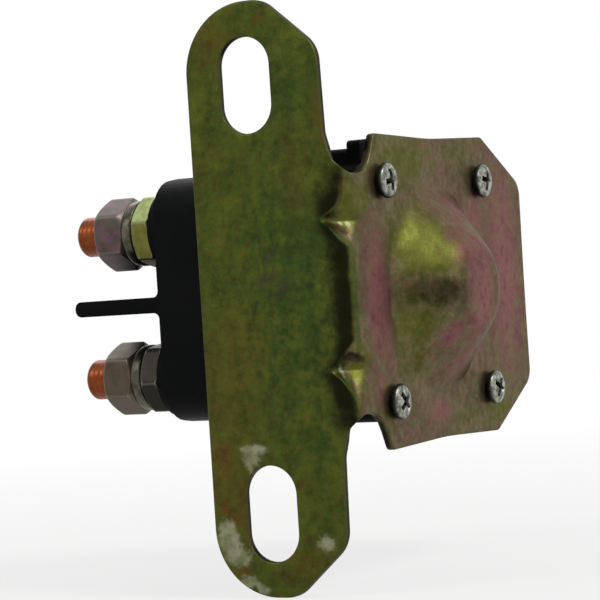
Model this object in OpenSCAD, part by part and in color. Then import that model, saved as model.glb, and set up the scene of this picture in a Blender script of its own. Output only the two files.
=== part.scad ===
// Starter solenoid relay on an L-shaped slotted bracket.
// Origin: middle of the two mounting slots, on the flange face that meets the panel.
// +X runs along the plunger axis towards the outer face of the base plate, +Y away from the panel,
// +Z up along the flange.

/* [Bracket sheet] */
// Thickness of the bracket sheet
sheet = 1.5; // [1.2:0.1:2]
// Outer radius of the bend
bend_r = 2.3; // [2.1:0.1:3]

/* [Flange] */
// Length of the flange
flange_len = 106; // [102:1:130]
// Distance between the slot centres
slot_spacing = 76.2; // [70:0.1:80]
// Width of a slot
slot_w = 10.3; // [6:0.1:12]
// Length of a slot, end to end
slot_len = 17.2; // [13:0.1:20]
// From the slots' centre line to the free long edge
free_edge = 12; // [10:0.1:16]
// From the slots' centre line to the edge beside the bend
inner_edge = 14.8; // [13:0.1:15.5]
// Large round of the ends at the free edge
end_r = 12.4; // [8:0.1:14]
// Width of the slanted cut at the inner end corners
end_cut_w = 10.5; // [6:0.1:12]
// Height of the slanted cut at the inner end corners
end_cut_h = 9.2; // [5:0.1:12]
// Round beside the slanted cut
end_cut_r = 6; // [3:0.1:8]

/* [Base plate] */
// From the slots' centre line to the outer face of the base plate
plate_x = 18.1; // [17.5:0.1:24]
// Height of the plunger axis above the panel face
axis_y = 35.7; // [34:0.1:42]
// From the plunger axis to the far edge
plate_far = 38.6; // [33:0.1:44]
// Half height of the base plate
plate_half = 28.4; // [26.5:0.1:30]
// Step from the base plate's ears down to the ends of the bend
notch_step = 6.8; // [5.5:0.1:8]
// Hollow of the top and bottom edges
plate_hollow = 0.7; // [0.2:0.1:2]
// From the plunger axis to the ear edges beside the bend
ear_in = 23.4; // [22.5:0.1:24.5]
// Width of the cut far corners
corner_cut_w = 16; // [6:0.1:18]
// Height of the cut far corners
corner_cut_h = 9.2; // [5:0.1:12]
// Corner round of the base plate
plate_r = 2; // [0.8:0.1:3]

/* [Nose] */
// Radius of the nose at the base plate
nose_base_r = 18.8; // [17:0.1:19.5]
// Radius of the flat end of the nose
nose_top_r = 7.6; // [7:0.1:10]
// Height of the nose above the base plate
nose_h = 9.1; // [8.6:0.1:12]
// Outer round at the foot of the nose
nose_foot_r = 2; // [1:0.1:3]
// Outer round at the end of the nose
nose_end_r = 3.4; // [2.2:0.1:4]

/* [Gusset darts] */
// From the ends of the bend to the darts' ridges
dart_inset = 8.4; // [7.5:0.1:10]
// Half width of a dart at the bend
dart_half = 5; // [3:0.1:6]
// Reach of a dart onto the flange
dart_flange = 5; // [4:0.1:7]
// Reach of a dart onto the base plate
dart_plate = 6.6; // [4.5:0.1:8]

/* [Housing] */
// Half height of the body
body_half = 23.2; // [23:0.1:23.6]
// Half width of the body, measured away from the panel
body_side = 26.7; // [25:0.1:28]
// Corner round of the body
body_r = 4; // [2:0.1:6]
// Depth of the body's end wall behind the base plate's outer face
body_end = 35.2; // [34.6:0.1:38]
// Height of the raised ledge above the axis
ledge_top = 26; // [25:0.1:27]
// Half width of the raised ledge
ledge_side = 23.5; // [16:0.1:25]
// Depth at which the raised ledge ends
ledge_end = 30; // [20:0.1:33]
// Height of the rim behind the base plate above the axis
rim_top = 27.4; // [27.1:0.1:28]
// Thickness of that rim
rim_t = 2.6; // [1.5:0.1:4]
// Half height of the terminal block at its corners
block_half = 22.5; // [22:0.1:24]
// Height of the terminal block's middle above the axis
block_rise = 0.6; // [0:0.1:1]
// Extra height of the terminal block at its middle
block_crown = 1.5; // [0.5:0.1:2]
// Half width of the terminal block
block_side = 11.7; // [11:0.1:14]
// Corner round of the terminal block
block_r = 7.5; // [6:0.1:8.5]
// Depth of the terminal block's face
block_end = 54.5; // [54:0.1:58]
// Radius of the bosses under the jam nuts
boss_r = 7.7; // [7:0.1:8.4]
// Height of those bosses
boss_h = 4.1; // [2:0.1:6]
// Thickness of the barrier wall
barrier_t = 3; // [2:0.1:4]
// Reach of the barrier wall past the terminal block
barrier_h = 19.3; // [10:0.1:24]

/* [Studs and nuts] */
// Height of each stud above and below the axis
stud_z = 14.3; // [14:0.1:15]
// Radius of the stud thread
stud_r = 3.97; // [3:0.01:4.2]
// Depth to which the nuts bite into the stud thread
thread_bite = 0.35; // [0.2:0.05:0.6]
// Free length of stud past its outer nut
stud_free = 6.2; // [2:0.1:12]
// Distance across the flats of the nuts
nut_af = 12.7; // [11:0.1:13.5]
// Thickness of the jam nuts
jam_t = 4.8; // [3:0.1:6]
// Thickness of the split lock washers
lock_t = 2.1; // [1:0.1:3]
// Outer radius of the split lock washers
lock_r = 6.5; // [5.6:0.1:7]
// Thickness of the outer nuts
nut_t = 6.6; // [4:0.1:8]
// Size of the stud head along the block
head_w = 8; // [7:0.1:8.3]
// Size of the stud head across the block
head_l = 14; // [9:0.1:16]
// Thickness of the stud head
head_t = 3; // [2:0.1:3.5]

/* [Base screws] */
// Half spacing of the four screws, both ways
screw_half = 19.85; // [19.6:0.05:20.2]
// Radius of the screw shank
screw_r = 1.6; // [1.2:0.05:1.8]
// Radius of the screw head
screw_head_r = 3.25; // [2.6:0.05:3.6]
// Height of the screw head
screw_head_h = 2; // [1.4:0.1:2.6]
// Length of the screw under its head
screw_len = 12; // [8:0.1:14]

/* [Coil terminals] */
// Width of a push-on blade
blade_w = 6.35; // [4:0.05:6.5]
// Thickness of a push-on blade
blade_t = 0.8; // [0.5:0.1:1]
// Free length of a blade
blade_free = 8.5; // [6:0.1:10]
// Height of each blade above and below the axis
blade_z = 10; // [8:0.1:11]
// From the steel can to the middle of the blades
blade_step = 2.5; // [2.2:0.1:2.8]

/* [Magnet] */
// Thickness of the body beside the steel can
body_wall = 2.9; // [2.7:0.1:3]
// Wall of the steel can
can_wall = 1.4; // [1:0.1:1.6]
// Depth of the can's closed end
can_end = 31; // [30.6:0.1:31]
// Thickness of the can's closed end and of the pole plate
can_floor = 2; // [1.5:0.1:2.4]
// Room between the coil winding and the can
winding_room = 1.4; // [0.9:0.1:3]
// Outer radius of the bobbin tube
bobbin_r = 8.2; // [7.8:0.1:9]
// Thickness of the bobbin flanges
bobbin_flange_t = 1.2; // [0.8:0.1:2]
// Inner radius of the brass sleeve
sleeve_r = 6; // [5.8:0.1:6.2]
// Wall of the brass sleeve
sleeve_t = 0.6; // [0.4:0.1:0.8]

/* [Plunger and contacts] */
// Working stroke of the plunger
stroke = 5; // [4.5:0.1:5]
// Residual gap between plunger and core at full stroke
residual_gap = 0.5; // [0.2:0.1:1]
// Depth of the plunger's front face at rest
plunger_front = 13; // [12:0.1:13.4]
// Radius of the push rod
rod_r = 2; // [1.6:0.1:2.2]
// Depth of the counterbores for the return spring
spring_seat_depth = 4.5; // [3:0.1:5]
// Mean radius of the return spring
return_r = 3.2; // [3:0.1:3.4]
// Turns of the return spring
return_turns = 8; // [5:1:9]
// Mean radius of the contact spring
overtravel_r = 4; // [3.6:0.1:4.4]
// Turns of the contact spring
overtravel_turns = 4; // [3:1:5]
// Radius of the spring wires
wire_r = 0.35; // [0.25:0.05:0.4]
// Open gap between the contact bar and the stud heads
contact_gap = 4; // [3.6:0.1:4]
// Thickness of the contact bar
bar_t = 1.8; // [1.2:0.1:2.2]
// Half length of the contact bar
bar_half = 18; // [17:0.1:18.2]
// Half width of the contact bar
bar_side = 7.5; // [6:0.1:8]

/* [Fits] */
// Thickness of the base gasket
gasket_t = 0.8; // [0.5:0.1:1.2]
// Radial clearance of a sliding fit
slide_fit = 0.08; // [0.03:0.01:0.1]
// Clearance between fixed pieces
loose_fit = 0.1; // [0.05:0.01:0.2]
// Clearance of the screw and stud holes
hole_fit = 0.3; // [0.1:0.05:0.4]

/* [Hidden] */

// Segments of a full circle, of one rounded outline corner, of a spring wire and of one of its turns
fine = 72;
arc_steps = 8;
wire_sides = 6;
curl_rings = 8;
// Part of a turn that lies flat at each end of a spring
closed_turn = 0.5;
// Overrun of every cut
cut = 1;

// Nose: half of its flank angle sets how its inner outline follows the outer one
nose_slope = atan2(nose_h, nose_base_r - nose_top_r);
nose_inset = sheet * tan(nose_slope / 2);
// Flat ring of the base plate that the nose profile carries with it
nose_ring = 3.5;
nose_overlap = 1;

// Level of a dart's inner flanks, one sheet thickness behind its outer ones, which lie at level 1
dart_level = 1 + sheet * norm([1 / dart_flange, 1 / dart_plate, 1 / dart_half]);

// Half length of the bend between its relief notches
bend_half = plate_half - notch_step;
dart_z = bend_half - dart_inset;
// Straight stretches that the bend shares with the flange and with the base plate
bend_lap = 1;

// Relief notches: their flare onto the flange, and their slanted side on the base plate
notch_flare = 3.6;
notch_run = 5.4;
notch_r = 2.6;

// Round of the hollow in the base plate's top and bottom edges
plate_hollow_r = 120;

// Depths behind the base plate's outer face
foot = sheet + gasket_t;
can_r = body_half - body_wall;
can_inner_r = can_r - can_wall;
coil_r = can_inner_r - winding_room;
blade_y = can_r + blade_step;
pocket_r = can_r + 2 * loose_fit;
pole_back = sheet + can_floor;
coil_end = can_end - can_floor;
divider_t = 1.8;
divider_front = can_end + loose_fit;
pocket_end = divider_front + divider_t;
chamber_half = max(bar_half, stud_z + head_w / 2) + 2 * loose_fit;
chamber_room = 1;
chamber_side = max(bar_side, head_l / 2) + chamber_room;
block_floor = 3.5;
chamber_end = block_end - block_floor;

stud_seat = block_end + boss_h;
jam_end = stud_seat + jam_t;
lock_end = jam_end + lock_t;
nut_end = lock_end + nut_t;
stud_end = nut_end + stud_free;
stud_chamfer = 0.8;
bite_r = stud_r - thread_bite;
head_front = chamber_end - head_t;
nut_chamfer = 1.1;
nut_corner_r = nut_af / sqrt(3);
lock_gap = 1.2;
lock_hole_r = stud_r + hole_fit;
seal_ring_r = 0.72;
seal_mean_r = 5.1;
seal_groove_r = 6.2;
seal_groove_depth = 1.6;

barrier_tip_share = 0.45;
barrier_tip_r = barrier_t * barrier_tip_share;
barrier_root_r = 1.2;

blade_point = 1.5;
blade_hole_r = 1;
blade_grip = 6;
blade_root = can_end - blade_grip;
lead_r = 0.5;
lead_inset = 2.5;
lead_depth = coil_end - lead_inset;
lead_slot = 1.2;

plunger_r = sleeve_r - slide_fit;
core_r = sleeve_r - slide_fit / 2;
sleeve_outer_r = sleeve_r + sleeve_t;
sleeve_hole_r = sleeve_outer_r + loose_fit;
core_front = plunger_front + stroke + residual_gap;
spigot_r = 4.4;
bumper_t = 1.4;
bumper_r = 5;
nose_floor = nose_h - sheet;
plunger_back = bumper_t + loose_fit - nose_floor;
counterbore_r = 4.2;
rod_grip = 9;
rod_root = plunger_front - rod_grip;
return_start = plunger_front - spring_seat_depth;
return_end = core_front + spring_seat_depth;

bar_front = head_front - contact_gap;
bar_back = bar_front - bar_t;
bush_r = 3.3;
bush_flange_r = 5.2;
bush_flange_t = 1.2;
bush_lip = 0.4;
bush_front = bar_front + bush_lip;
bush_back = bar_back - bush_flange_t;
clip_t = 0.7;
clip_r = 3.4;
clip_groove = 0.5;
clip_gap = 0.06;
front_clip = bush_front + clip_gap;
seat_t = 0.8;
seat_r = 5.2;
rear_play = 0.6;
rear_clip = pocket_end + rear_play;
seat_back = rear_clip + clip_t;
seat_front = seat_back + seat_t;
rod_tip = 0.4;
rod_end = front_clip + clip_t + rod_tip;
// Relative slide of the contact bar on the push rod at full stroke, with a hair of free play
touch_play = 0.05;
bar_lag = stroke - contact_gap + touch_play;

recess_w = 0.8;
recess_l = 3.6;
recess_depth = 1.1;
head_rim_share = 0.55;
head_crown_share = 0.72;

steel_color = "slategray";
chromate_color = "darkkhaki";
copper_color = "peru";

// Maps the pieces on the plunger axis: their z becomes depth behind the base plate's outer face,
// their x points up and their y away from the panel.
module on_axis(depth = 0) {
    translate([plate_x - depth, axis_y, 0]) rotate([0, -90, 0]) children();
}

function unit(v) = v / norm(v);

// Points of one rounded corner at p between its neighbours before and after
function corner(before, p, after, r, n = arc_steps) =
    let(a = unit(before - p), b = unit(after - p))
    let(half = acos(max(-1, min(1, a * b))) / 2)
    let(c = p + unit(a + b) * r / sin(half))
    let(s = p + a * r / tan(half) - c, e = p + b * r / tan(half) - c)
    let(a0 = atan2(s[1], s[0]), turn = atan2(s[0] * e[1] - s[1] * e[0], s * e))
    [for (i = [0:n]) c + r * [cos(a0 + turn * i / n), sin(a0 + turn * i / n)]];

// Closed outline whose corner i has radius radii[i], or stays sharp at zero
function rounded(points, radii, n = arc_steps) =
    let(count = len(points))
    [for (i = [0:count - 1])
        let(ring = radii[i] > 0
            ? corner(points[(i + count - 1) % count], points[i], points[(i + 1) % count], radii[i], n)
            : [points[i]])
        for (q = ring) q];

function flip(points) = [for (i = [len(points) - 1:-1:0]) [points[i][0], -points[i][1]]];

// Disc or ring between two depths on the axis
module ring(outer, inner, from, to) {
    translate([0, 0, from])
        difference() {
            cylinder(r = outer, h = to - from, $fn = fine);
            if (inner > 0)
                translate([0, 0, -cut]) cylinder(r = inner, h = to - from + 2 * cut, $fn = fine);
        }
}

module slab(x0, x1, y0, y1, z0, z1) {
    translate([x0, y0, z0]) cube([x1 - x0, y1 - y0, z1 - z0]);
}

// Mounting bracket

// Upper half of the flange outline, from the middle of the bend side round to the free side
flange_half = flange_len / 2;
flange_points = [[plate_x - bend_r, 0], [plate_x - bend_r, bend_half],
                 [inner_edge, bend_half + notch_flare], [inner_edge, flange_half - end_cut_h],
                 [inner_edge - end_cut_w, flange_half], [-free_edge, flange_half], [-free_edge, 0]];
flange_radii = [0, 0, 2 * notch_r, end_cut_r, end_cut_r, end_r, 0];

module flange_outline() {
    upper = rounded(flange_points, flange_radii);
    polygon(concat(upper, flip(upper)));
}

module slot_cut() {
    reach = (slot_len - slot_w) / 2;
    for (side = [-1, 1])
        translate([0, slot_spacing / 2 * side]) {
            for (end = [-1, 1])
                translate([0, reach * end]) circle(r = slot_w / 2, $fn = fine);
            translate([-slot_w / 2, -reach]) square([slot_w, 2 * reach]);
        }
}

module flange() {
    translate([0, sheet, 0]) rotate([90, 0, 0])
        linear_extrude(sheet)
            difference() {
                flange_outline();
                slot_cut();
            }
}

// Base plate outline on the axis frame: first value up, second away from the panel
notch_end = -ear_in - notch_run;
plate_points = [[0, bend_r - axis_y], [bend_half, bend_r - axis_y], [bend_half, notch_end],
                [plate_half, -ear_in], [plate_half - plate_hollow, 0],
                [plate_half, plate_far - corner_cut_w], [plate_half - corner_cut_h, plate_far],
                [0, plate_far]];
plate_radii = [0, 0, notch_r, plate_r / 2, plate_hollow_r, plate_r, 2 * plate_r, 0];

function mirror_up(points) = [for (i = [len(points) - 1:-1:0]) [-points[i][0], points[i][1]]];

module plate_outline() {
    upper = rounded(plate_points, plate_radii);
    polygon(concat(upper, mirror_up(upper)));
}

function on_square(half) = [for (a = [-1, 1], b = [-1, 1]) [a * half, b * half]];

module base_plate() {
    on_axis(sheet) mirror([0, 0, 1])
        linear_extrude(sheet)
            difference() {
                plate_outline();
                circle(r = nose_base_r + nose_ring - nose_overlap, $fn = fine);
                for (p = on_square(screw_half)) translate(p) circle(r = screw_r + hole_fit, $fn = fine);
            }
}

// One face of the nose: foot and end corners of an outline that stands h high
function nose_face(foot_r, end_r, low, high, r1, r2) =
    let(rim = [nose_base_r + nose_ring, low])
    concat([rim], corner(rim, [foot_r, low], [end_r, high], r1),
           corner([foot_r, low], [end_r, high], [0, high], r2), [[0, high]]);

module nose() {
    outer = nose_face(nose_base_r, nose_top_r, 0, nose_h, nose_foot_r, nose_end_r);
    inner = nose_face(nose_base_r - nose_inset, nose_top_r - nose_inset, -sheet, nose_h - sheet,
                      nose_foot_r + sheet, nose_end_r - sheet);
    on_axis() rotate([180, 0, 0])
        rotate_extrude($fn = fine)
            polygon(concat(outer, [for (i = [len(inner) - 1:-1:0]) inner[i]]));
}

// Outline of the bend with its straight stretches, seen along the bend
module bend_outline() {
    centre = [plate_x - bend_r, bend_r];
    leg = bend_r + bend_lap;
    translate(centre)
        difference() {
            union() {
                circle(r = bend_r, $fn = fine);
                translate([-bend_lap, -bend_r]) square([bend_lap, leg]);
                translate([-bend_lap, 0]) square([leg, bend_lap]);
            }
            circle(r = bend_r - sheet, $fn = fine);
            translate([-leg - cut, 0]) square([leg + cut + bend_r - sheet, leg + cut]);
            translate([-leg - cut, sheet - bend_r]) square([leg + cut, leg + cut]);
        }
}

module bend() {
    translate([0, 0, -bend_half]) linear_extrude(2 * bend_half) bend_outline();
}

// Wedge in the corner between flange and base plate, out to a dart's flanks at a level
module dart_wedge(offset, level) {
    on_flange = dart_flange * (level - offset / dart_plate);
    on_plate = dart_plate * (level - offset / dart_flange);
    half = dart_half * (level - offset / dart_flange - offset / dart_plate);
    polyhedron(points = [[plate_x - on_flange, offset, 0], [plate_x - offset, on_plate, 0],
                         [plate_x - offset, offset, -half], [plate_x - offset, offset, half]],
               faces = [[0, 1, 2], [0, 3, 1], [0, 2, 3], [1, 3, 2]]);
}

module mounting_bracket() {
    color(chromate_color)
    difference() {
        union() {
            flange();
            bend();
            base_plate();
            nose();
            for (side = [-1, 1])
                translate([0, 0, dart_z * side]) dart_wedge(sheet / 2, dart_level);
        }
        for (side = [-1, 1])
            translate([0, 0, dart_z * side]) dart_wedge(-cut, 1);
    }
}

// Pan head with its rim, crown and cross recess, and a plain shank
module base_screws() {
    rim_h = screw_head_h * head_rim_share;
    crown_r = screw_head_r * head_crown_share;
    profile = concat([[0, -screw_len], [screw_r / 2, -screw_len], [screw_r, screw_r - screw_len], [screw_r, 0]],
                     rounded([[screw_head_r, 0], [screw_head_r, rim_h], [crown_r, screw_head_h], [0, screw_head_h]],
                             [0, rim_h / 2, rim_h / 2, 0], arc_steps / 2));
    color("silver")
    on_axis() rotate([180, 0, 0])
        for (p = on_square(screw_half)) translate([p[0], p[1], 0])
            difference() {
                rotate_extrude($fn = fine / 2) polygon(profile);
                for (turn = [0, 90]) rotate([0, 0, turn])
                    slab(-recess_l / 2, recess_l / 2, -recess_w / 2, recess_w / 2,
                         screw_head_h - recess_depth, screw_head_h + cut);
            }
}

// Housing

module body_outline() {
    polygon(rounded([[-body_half, -body_side], [body_half, -body_side], [body_half, body_side],
                     [-body_half, body_side]], [body_r, body_r, body_r, body_r]));
}

module rim_outline(top) {
    square_r = body_r / 4;
    polygon(rounded([[0, -ledge_side], [top, -ledge_side], [top, ledge_side], [0, ledge_side]],
                    [0, square_r, square_r, 0]));
}

module block_outline() {
    edge_points = [[block_half, -block_side], [block_half + block_crown, 0], [block_half, block_side]];
    upper = rounded(concat([[0, -block_side]], edge_points, [[0, block_side]]),
                    [0, block_r, 2 * block_side, block_r, 0]);
    polygon(concat(upper, mirror_up(upper)));
}

module barrier() {
    tip = block_end + barrier_h;
    half = barrier_t / 2;
    side = half + 2 * barrier_root_r;
    below = block_end - barrier_root_r;
    profile = rounded([[-side, below], [-side, block_end], [-half, block_end], [-half, tip],
                       [half, tip], [half, block_end], [side, block_end], [side, below]],
                      [0, 0, barrier_root_r, barrier_tip_r, barrier_tip_r, barrier_root_r, 0, 0]);
    translate([0, block_side, 0]) rotate([90, 0, 0]) linear_extrude(2 * block_side) polygon(profile);
}

module blade_slots() {
    for (side = [-1, 1]) {
        slab(side * blade_z - blade_w / 2 - loose_fit, side * blade_z + blade_w / 2 + loose_fit,
             blade_y - blade_t / 2 - loose_fit, blade_y + blade_t / 2 + loose_fit,
             blade_root - loose_fit, body_end + cut);
        slab(side * blade_z - lead_slot, side * blade_z + lead_slot, 0, blade_y,
             lead_depth - lead_slot, lead_depth + lead_slot);
    }
}

module housing() {
    color([0.08, 0.08, 0.09])
    on_axis()
    difference() {
        union() {
            translate([0, 0, foot]) linear_extrude(body_end - foot) body_outline();
            translate([0, 0, foot]) linear_extrude(ledge_end - foot) rim_outline(ledge_top);
            translate([0, 0, foot]) linear_extrude(rim_t) rim_outline(rim_top);
            translate([block_rise, 0, foot]) linear_extrude(block_end - foot) block_outline();
            for (side = [-1, 1])
                translate([side * stud_z, 0, 0]) ring(boss_r, 0, block_end - cut, stud_seat);
            barrier();
        }
        ring(pocket_r, 0, foot - cut, pocket_end);
        slab(-chamber_half, chamber_half, -chamber_side, chamber_side, pocket_end - cut, chamber_end);
        for (side = [-1, 1]) translate([side * stud_z, 0, 0]) {
            ring(stud_r + hole_fit / 2, 0, chamber_end - cut, stud_seat + cut);
            ring(seal_groove_r, 0, chamber_end - cut, chamber_end + seal_groove_depth);
        }
        for (p = on_square(screw_half)) translate([p[0], p[1], 0])
            ring(screw_r + loose_fit / 2, 0, foot - cut, screw_len + cut);
        blade_slots();
    }
}

module base_gasket() {
    color([0.15, 0.15, 0.15])
    on_axis()
    difference() {
        translate([0, 0, sheet]) linear_extrude(gasket_t)
            union() {
                body_outline();
                rim_outline(rim_top);
            }
        ring(pocket_r + loose_fit, 0, sheet - cut, foot + cut);
        for (p = on_square(screw_half)) translate([p[0], p[1], 0])
            ring(screw_r + hole_fit, 0, sheet - cut, foot + cut);
    }
}

// Studs, nuts and washers

module at_studs() {
    on_axis() for (side = [-1, 1]) translate([side * stud_z, 0, 0]) children();
}

// The thread is plain: at its crests where it is free, and as deep as the nuts bite under them
module terminal_studs() {
    color(copper_color)
    at_studs() {
        slab(-head_w / 2, head_w / 2, -head_l / 2, head_l / 2, head_front, chamber_end);
        rotate_extrude($fn = fine)
            polygon([[0, head_front], [stud_r, head_front], [stud_r, stud_seat], [bite_r, stud_seat],
                     [bite_r, jam_end], [stud_r, jam_end], [stud_r, lock_end], [bite_r, lock_end],
                     [bite_r, nut_end], [stud_r, nut_end], [stud_r, stud_end - stud_chamfer],
                     [stud_r - stud_chamfer, stud_end], [0, stud_end]]);
    }
}

module stud_seals() {
    color("dimgray")
    at_studs() translate([0, 0, chamber_end + seal_groove_depth / 2])
        rotate_extrude($fn = fine) translate([seal_mean_r, 0]) circle(r = seal_ring_r, $fn = fine);
}

// Hexagon nut with both faces chamfered, a corner pointing up
module hex_nut(from, thickness) {
    chamfer_h = nut_chamfer * tan(30);
    translate([0, 0, from])
        difference() {
            intersection() {
                cylinder(r = nut_corner_r, h = thickness, $fn = 6);
                rotate_extrude($fn = fine)
                    polygon([[0, 0], [nut_corner_r - nut_chamfer, 0], [nut_corner_r, chamfer_h],
                             [nut_corner_r, thickness - chamfer_h], [nut_corner_r - nut_chamfer, thickness],
                             [0, thickness]]);
            }
            translate([0, 0, -cut]) cylinder(r = bite_r + slide_fit, h = thickness + 2 * cut, $fn = fine);
        }
}

module jam_nuts() {
    color("darkgray") at_studs() hex_nut(stud_seat, jam_t);
}

module terminal_nuts() {
    color("darkgray") at_studs() hex_nut(lock_end, nut_t);
}

module lock_washers() {
    color("lightgray")
    at_studs()
        difference() {
            ring(lock_r, lock_hole_r, jam_end, lock_end);
            slab(-lock_gap / 2, lock_gap / 2, 0, 2 * lock_r, jam_end - cut, lock_end + cut);
        }
}

// Coil circuit

module coil_terminals() {
    tip = body_end + blade_free;
    half = blade_w / 2;
    color("gainsboro")
    on_axis() for (side = [-1, 1])
        translate([side * blade_z, blade_y + blade_t / 2, 0]) rotate([90, 0, 0])
            linear_extrude(blade_t)
                difference() {
                    polygon([[-half, blade_root], [half, blade_root], [half, tip - blade_point],
                             [half - blade_point, tip], [blade_point - half, tip], [-half, tip - blade_point]]);
                    translate([0, tip - blade_free / 2]) circle(r = blade_hole_r, $fn = fine);
                }
}

module coil_leads() {
    inner_z = blade_z - lead_r;
    start = sqrt(coil_r * coil_r - inner_z * inner_z) + loose_fit;
    color(copper_color)
    on_axis() for (side = [-1, 1])
        translate([side * blade_z, start, lead_depth]) rotate([-90, 0, 0])
            cylinder(r = lead_r, h = blade_y - blade_t / 2 - start, $fn = fine);
}

module coil_winding() {
    color(copper_color)
    on_axis() ring(coil_r, bobbin_r + loose_fit, pole_back + bobbin_flange_t, coil_end - bobbin_flange_t);
}

module bobbin() {
    flange_r = can_inner_r - 2 * loose_fit;
    color("ivory")
    on_axis()
    rotate_extrude($fn = fine)
        polygon([[sleeve_hole_r, pole_back], [flange_r, pole_back], [flange_r, pole_back + bobbin_flange_t],
                 [bobbin_r, pole_back + bobbin_flange_t], [bobbin_r, coil_end - bobbin_flange_t],
                 [flange_r, coil_end - bobbin_flange_t], [flange_r, coil_end], [sleeve_hole_r, coil_end]]);
}

// Magnet

module yoke_can() {
    color(steel_color)
    on_axis()
    difference() {
        ring(can_r, spigot_r + loose_fit / 2, sheet, can_end);
        ring(can_inner_r, 0, sheet - cut, coil_end);
        for (side = [-1, 1])
            slab(side * blade_z - lead_slot, side * blade_z + lead_slot, 0, can_r + cut,
                 lead_depth - lead_slot, lead_depth + lead_slot);
    }
}

module pole_plate() {
    color(steel_color) on_axis() ring(can_inner_r - loose_fit, sleeve_hole_r, sheet, pole_back);
}

module guide_sleeve() {
    color("goldenrod") on_axis() ring(sleeve_outer_r, sleeve_r, sheet, coil_end);
}

module fixed_core() {
    color(steel_color)
    on_axis()
    difference() {
        union() {
            ring(core_r, 0, core_front, coil_end);
            ring(spigot_r, 0, core_front, can_end);
        }
        ring(rod_r + hole_fit, 0, core_front - cut, can_end + cut);
        ring(counterbore_r, 0, core_front - cut, core_front + spring_seat_depth);
    }
}

module rest_bumper() {
    color([0.12, 0.12, 0.12]) on_axis() ring(bumper_r, 0, -nose_floor, bumper_t - nose_floor);
}

module divider_disc() {
    color("saddlebrown") on_axis() ring(can_r, rod_r + hole_fit, divider_front, pocket_end);
}

// Plunger and moving contact

module plunger() {
    color(steel_color)
    on_axis()
    difference() {
        ring(plunger_r, 0, plunger_back, plunger_front);
        ring(rod_r, 0, rod_root, plunger_front + cut);
        ring(counterbore_r, 0, plunger_front - spring_seat_depth, plunger_front + cut);
    }
}

module push_rod() {
    groove_r = rod_r - clip_groove;
    color("lightsteelblue")
    on_axis()
    difference() {
        ring(rod_r, 0, rod_root, rod_end);
        for (place = [rear_clip, front_clip]) ring(rod_r + cut, groove_r, place, place + clip_t);
    }
}

module retaining_clips() {
    color("dimgray")
    on_axis() for (place = [rear_clip, front_clip])
        difference() {
            ring(clip_r, rod_r - clip_groove, place, place + clip_t);
            slab(-rod_r * head_rim_share, rod_r * head_rim_share, 0, 2 * clip_r, place - cut, place + clip_t + cut);
        }
}

module spring_seat() {
    color("silver") on_axis() ring(seat_r, rod_r + loose_fit, seat_back, seat_front);
}

module contact_bush() {
    color("wheat")
    on_axis()
    difference() {
        union() {
            ring(bush_flange_r, 0, bush_back, bar_back);
            ring(bush_r, 0, bush_back, bush_front);
        }
        ring(rod_r + slide_fit, 0, bush_back - cut, bush_front + cut);
    }
}

module contact_bridge() {
    bar_r = bar_side / 3;
    color(copper_color)
    on_axis()
    difference() {
        translate([0, 0, bar_back]) linear_extrude(bar_t)
            polygon(rounded([[-bar_half, -bar_side], [bar_half, -bar_side], [bar_half, bar_side],
                             [-bar_half, bar_side]], [bar_r, bar_r, bar_r, bar_r]));
        ring(bush_r + loose_fit, 0, bar_back - cut, bar_front + cut);
    }
}

// Round wire wound as a helix between two depths, its first and last turns closed onto their seats
function helix_rise(t, turns) =
    let(closed = closed_turn / turns)
    t < closed ? 0 : t > 1 - closed ? 1 : (t - closed) / (1 - 2 * closed);

module helix(mean_r, from, to, turns) {
    rings = turns * curl_rings;
    rise = to - from - 2 * wire_r;
    points = [for (i = [0:rings], k = [0:wire_sides - 1])
        let(angle = 360 * turns * i / rings, side = 360 * k / wire_sides)
        let(radius = mean_r + wire_r * cos(side))
        [radius * cos(angle), radius * sin(angle),
         from + wire_r + rise * helix_rise(i / rings, turns) + wire_r * sin(side)]];
    walls = [for (i = [0:rings - 1], k = [0:wire_sides - 1])
        let(next = (k + 1) % wire_sides, a = i * wire_sides, b = (i + 1) * wire_sides)
        for (face = [[a + k, b + k, b + next], [a + k, b + next, a + next]]) face];
    first = [for (k = [1:wire_sides - 2]) [0, k, k + 1]];
    last = [for (k = [1:wire_sides - 2]) let(a = rings * wire_sides) [a, a + k + 1, a + k]];
    polyhedron(points = points, faces = concat(walls, first, last));
}

module return_spring() {
    color("silver") on_axis() helix(return_r, return_start, return_end, return_turns);
}

module contact_spring() {
    color("silver") on_axis() helix(overtravel_r, seat_front, bush_back, overtravel_turns);
}

mounting_bracket();
base_screws();
housing();
base_gasket();
terminal_studs();
stud_seals();
jam_nuts();
lock_washers();
terminal_nuts();
coil_terminals();
coil_leads();
yoke_can();
pole_plate();
bobbin();
coil_winding();
guide_sleeve();
fixed_core();
rest_bumper();
divider_disc();
return_spring();
plunger();
push_rod();
retaining_clips();
spring_seat();
contact_spring();
contact_bush();
contact_bridge();
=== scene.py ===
import math

import bmesh
import bpy
import numpy as np
from mathutils import Matrix, Vector
from mathutils.geometry import delaunay_2d_cdt


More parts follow.
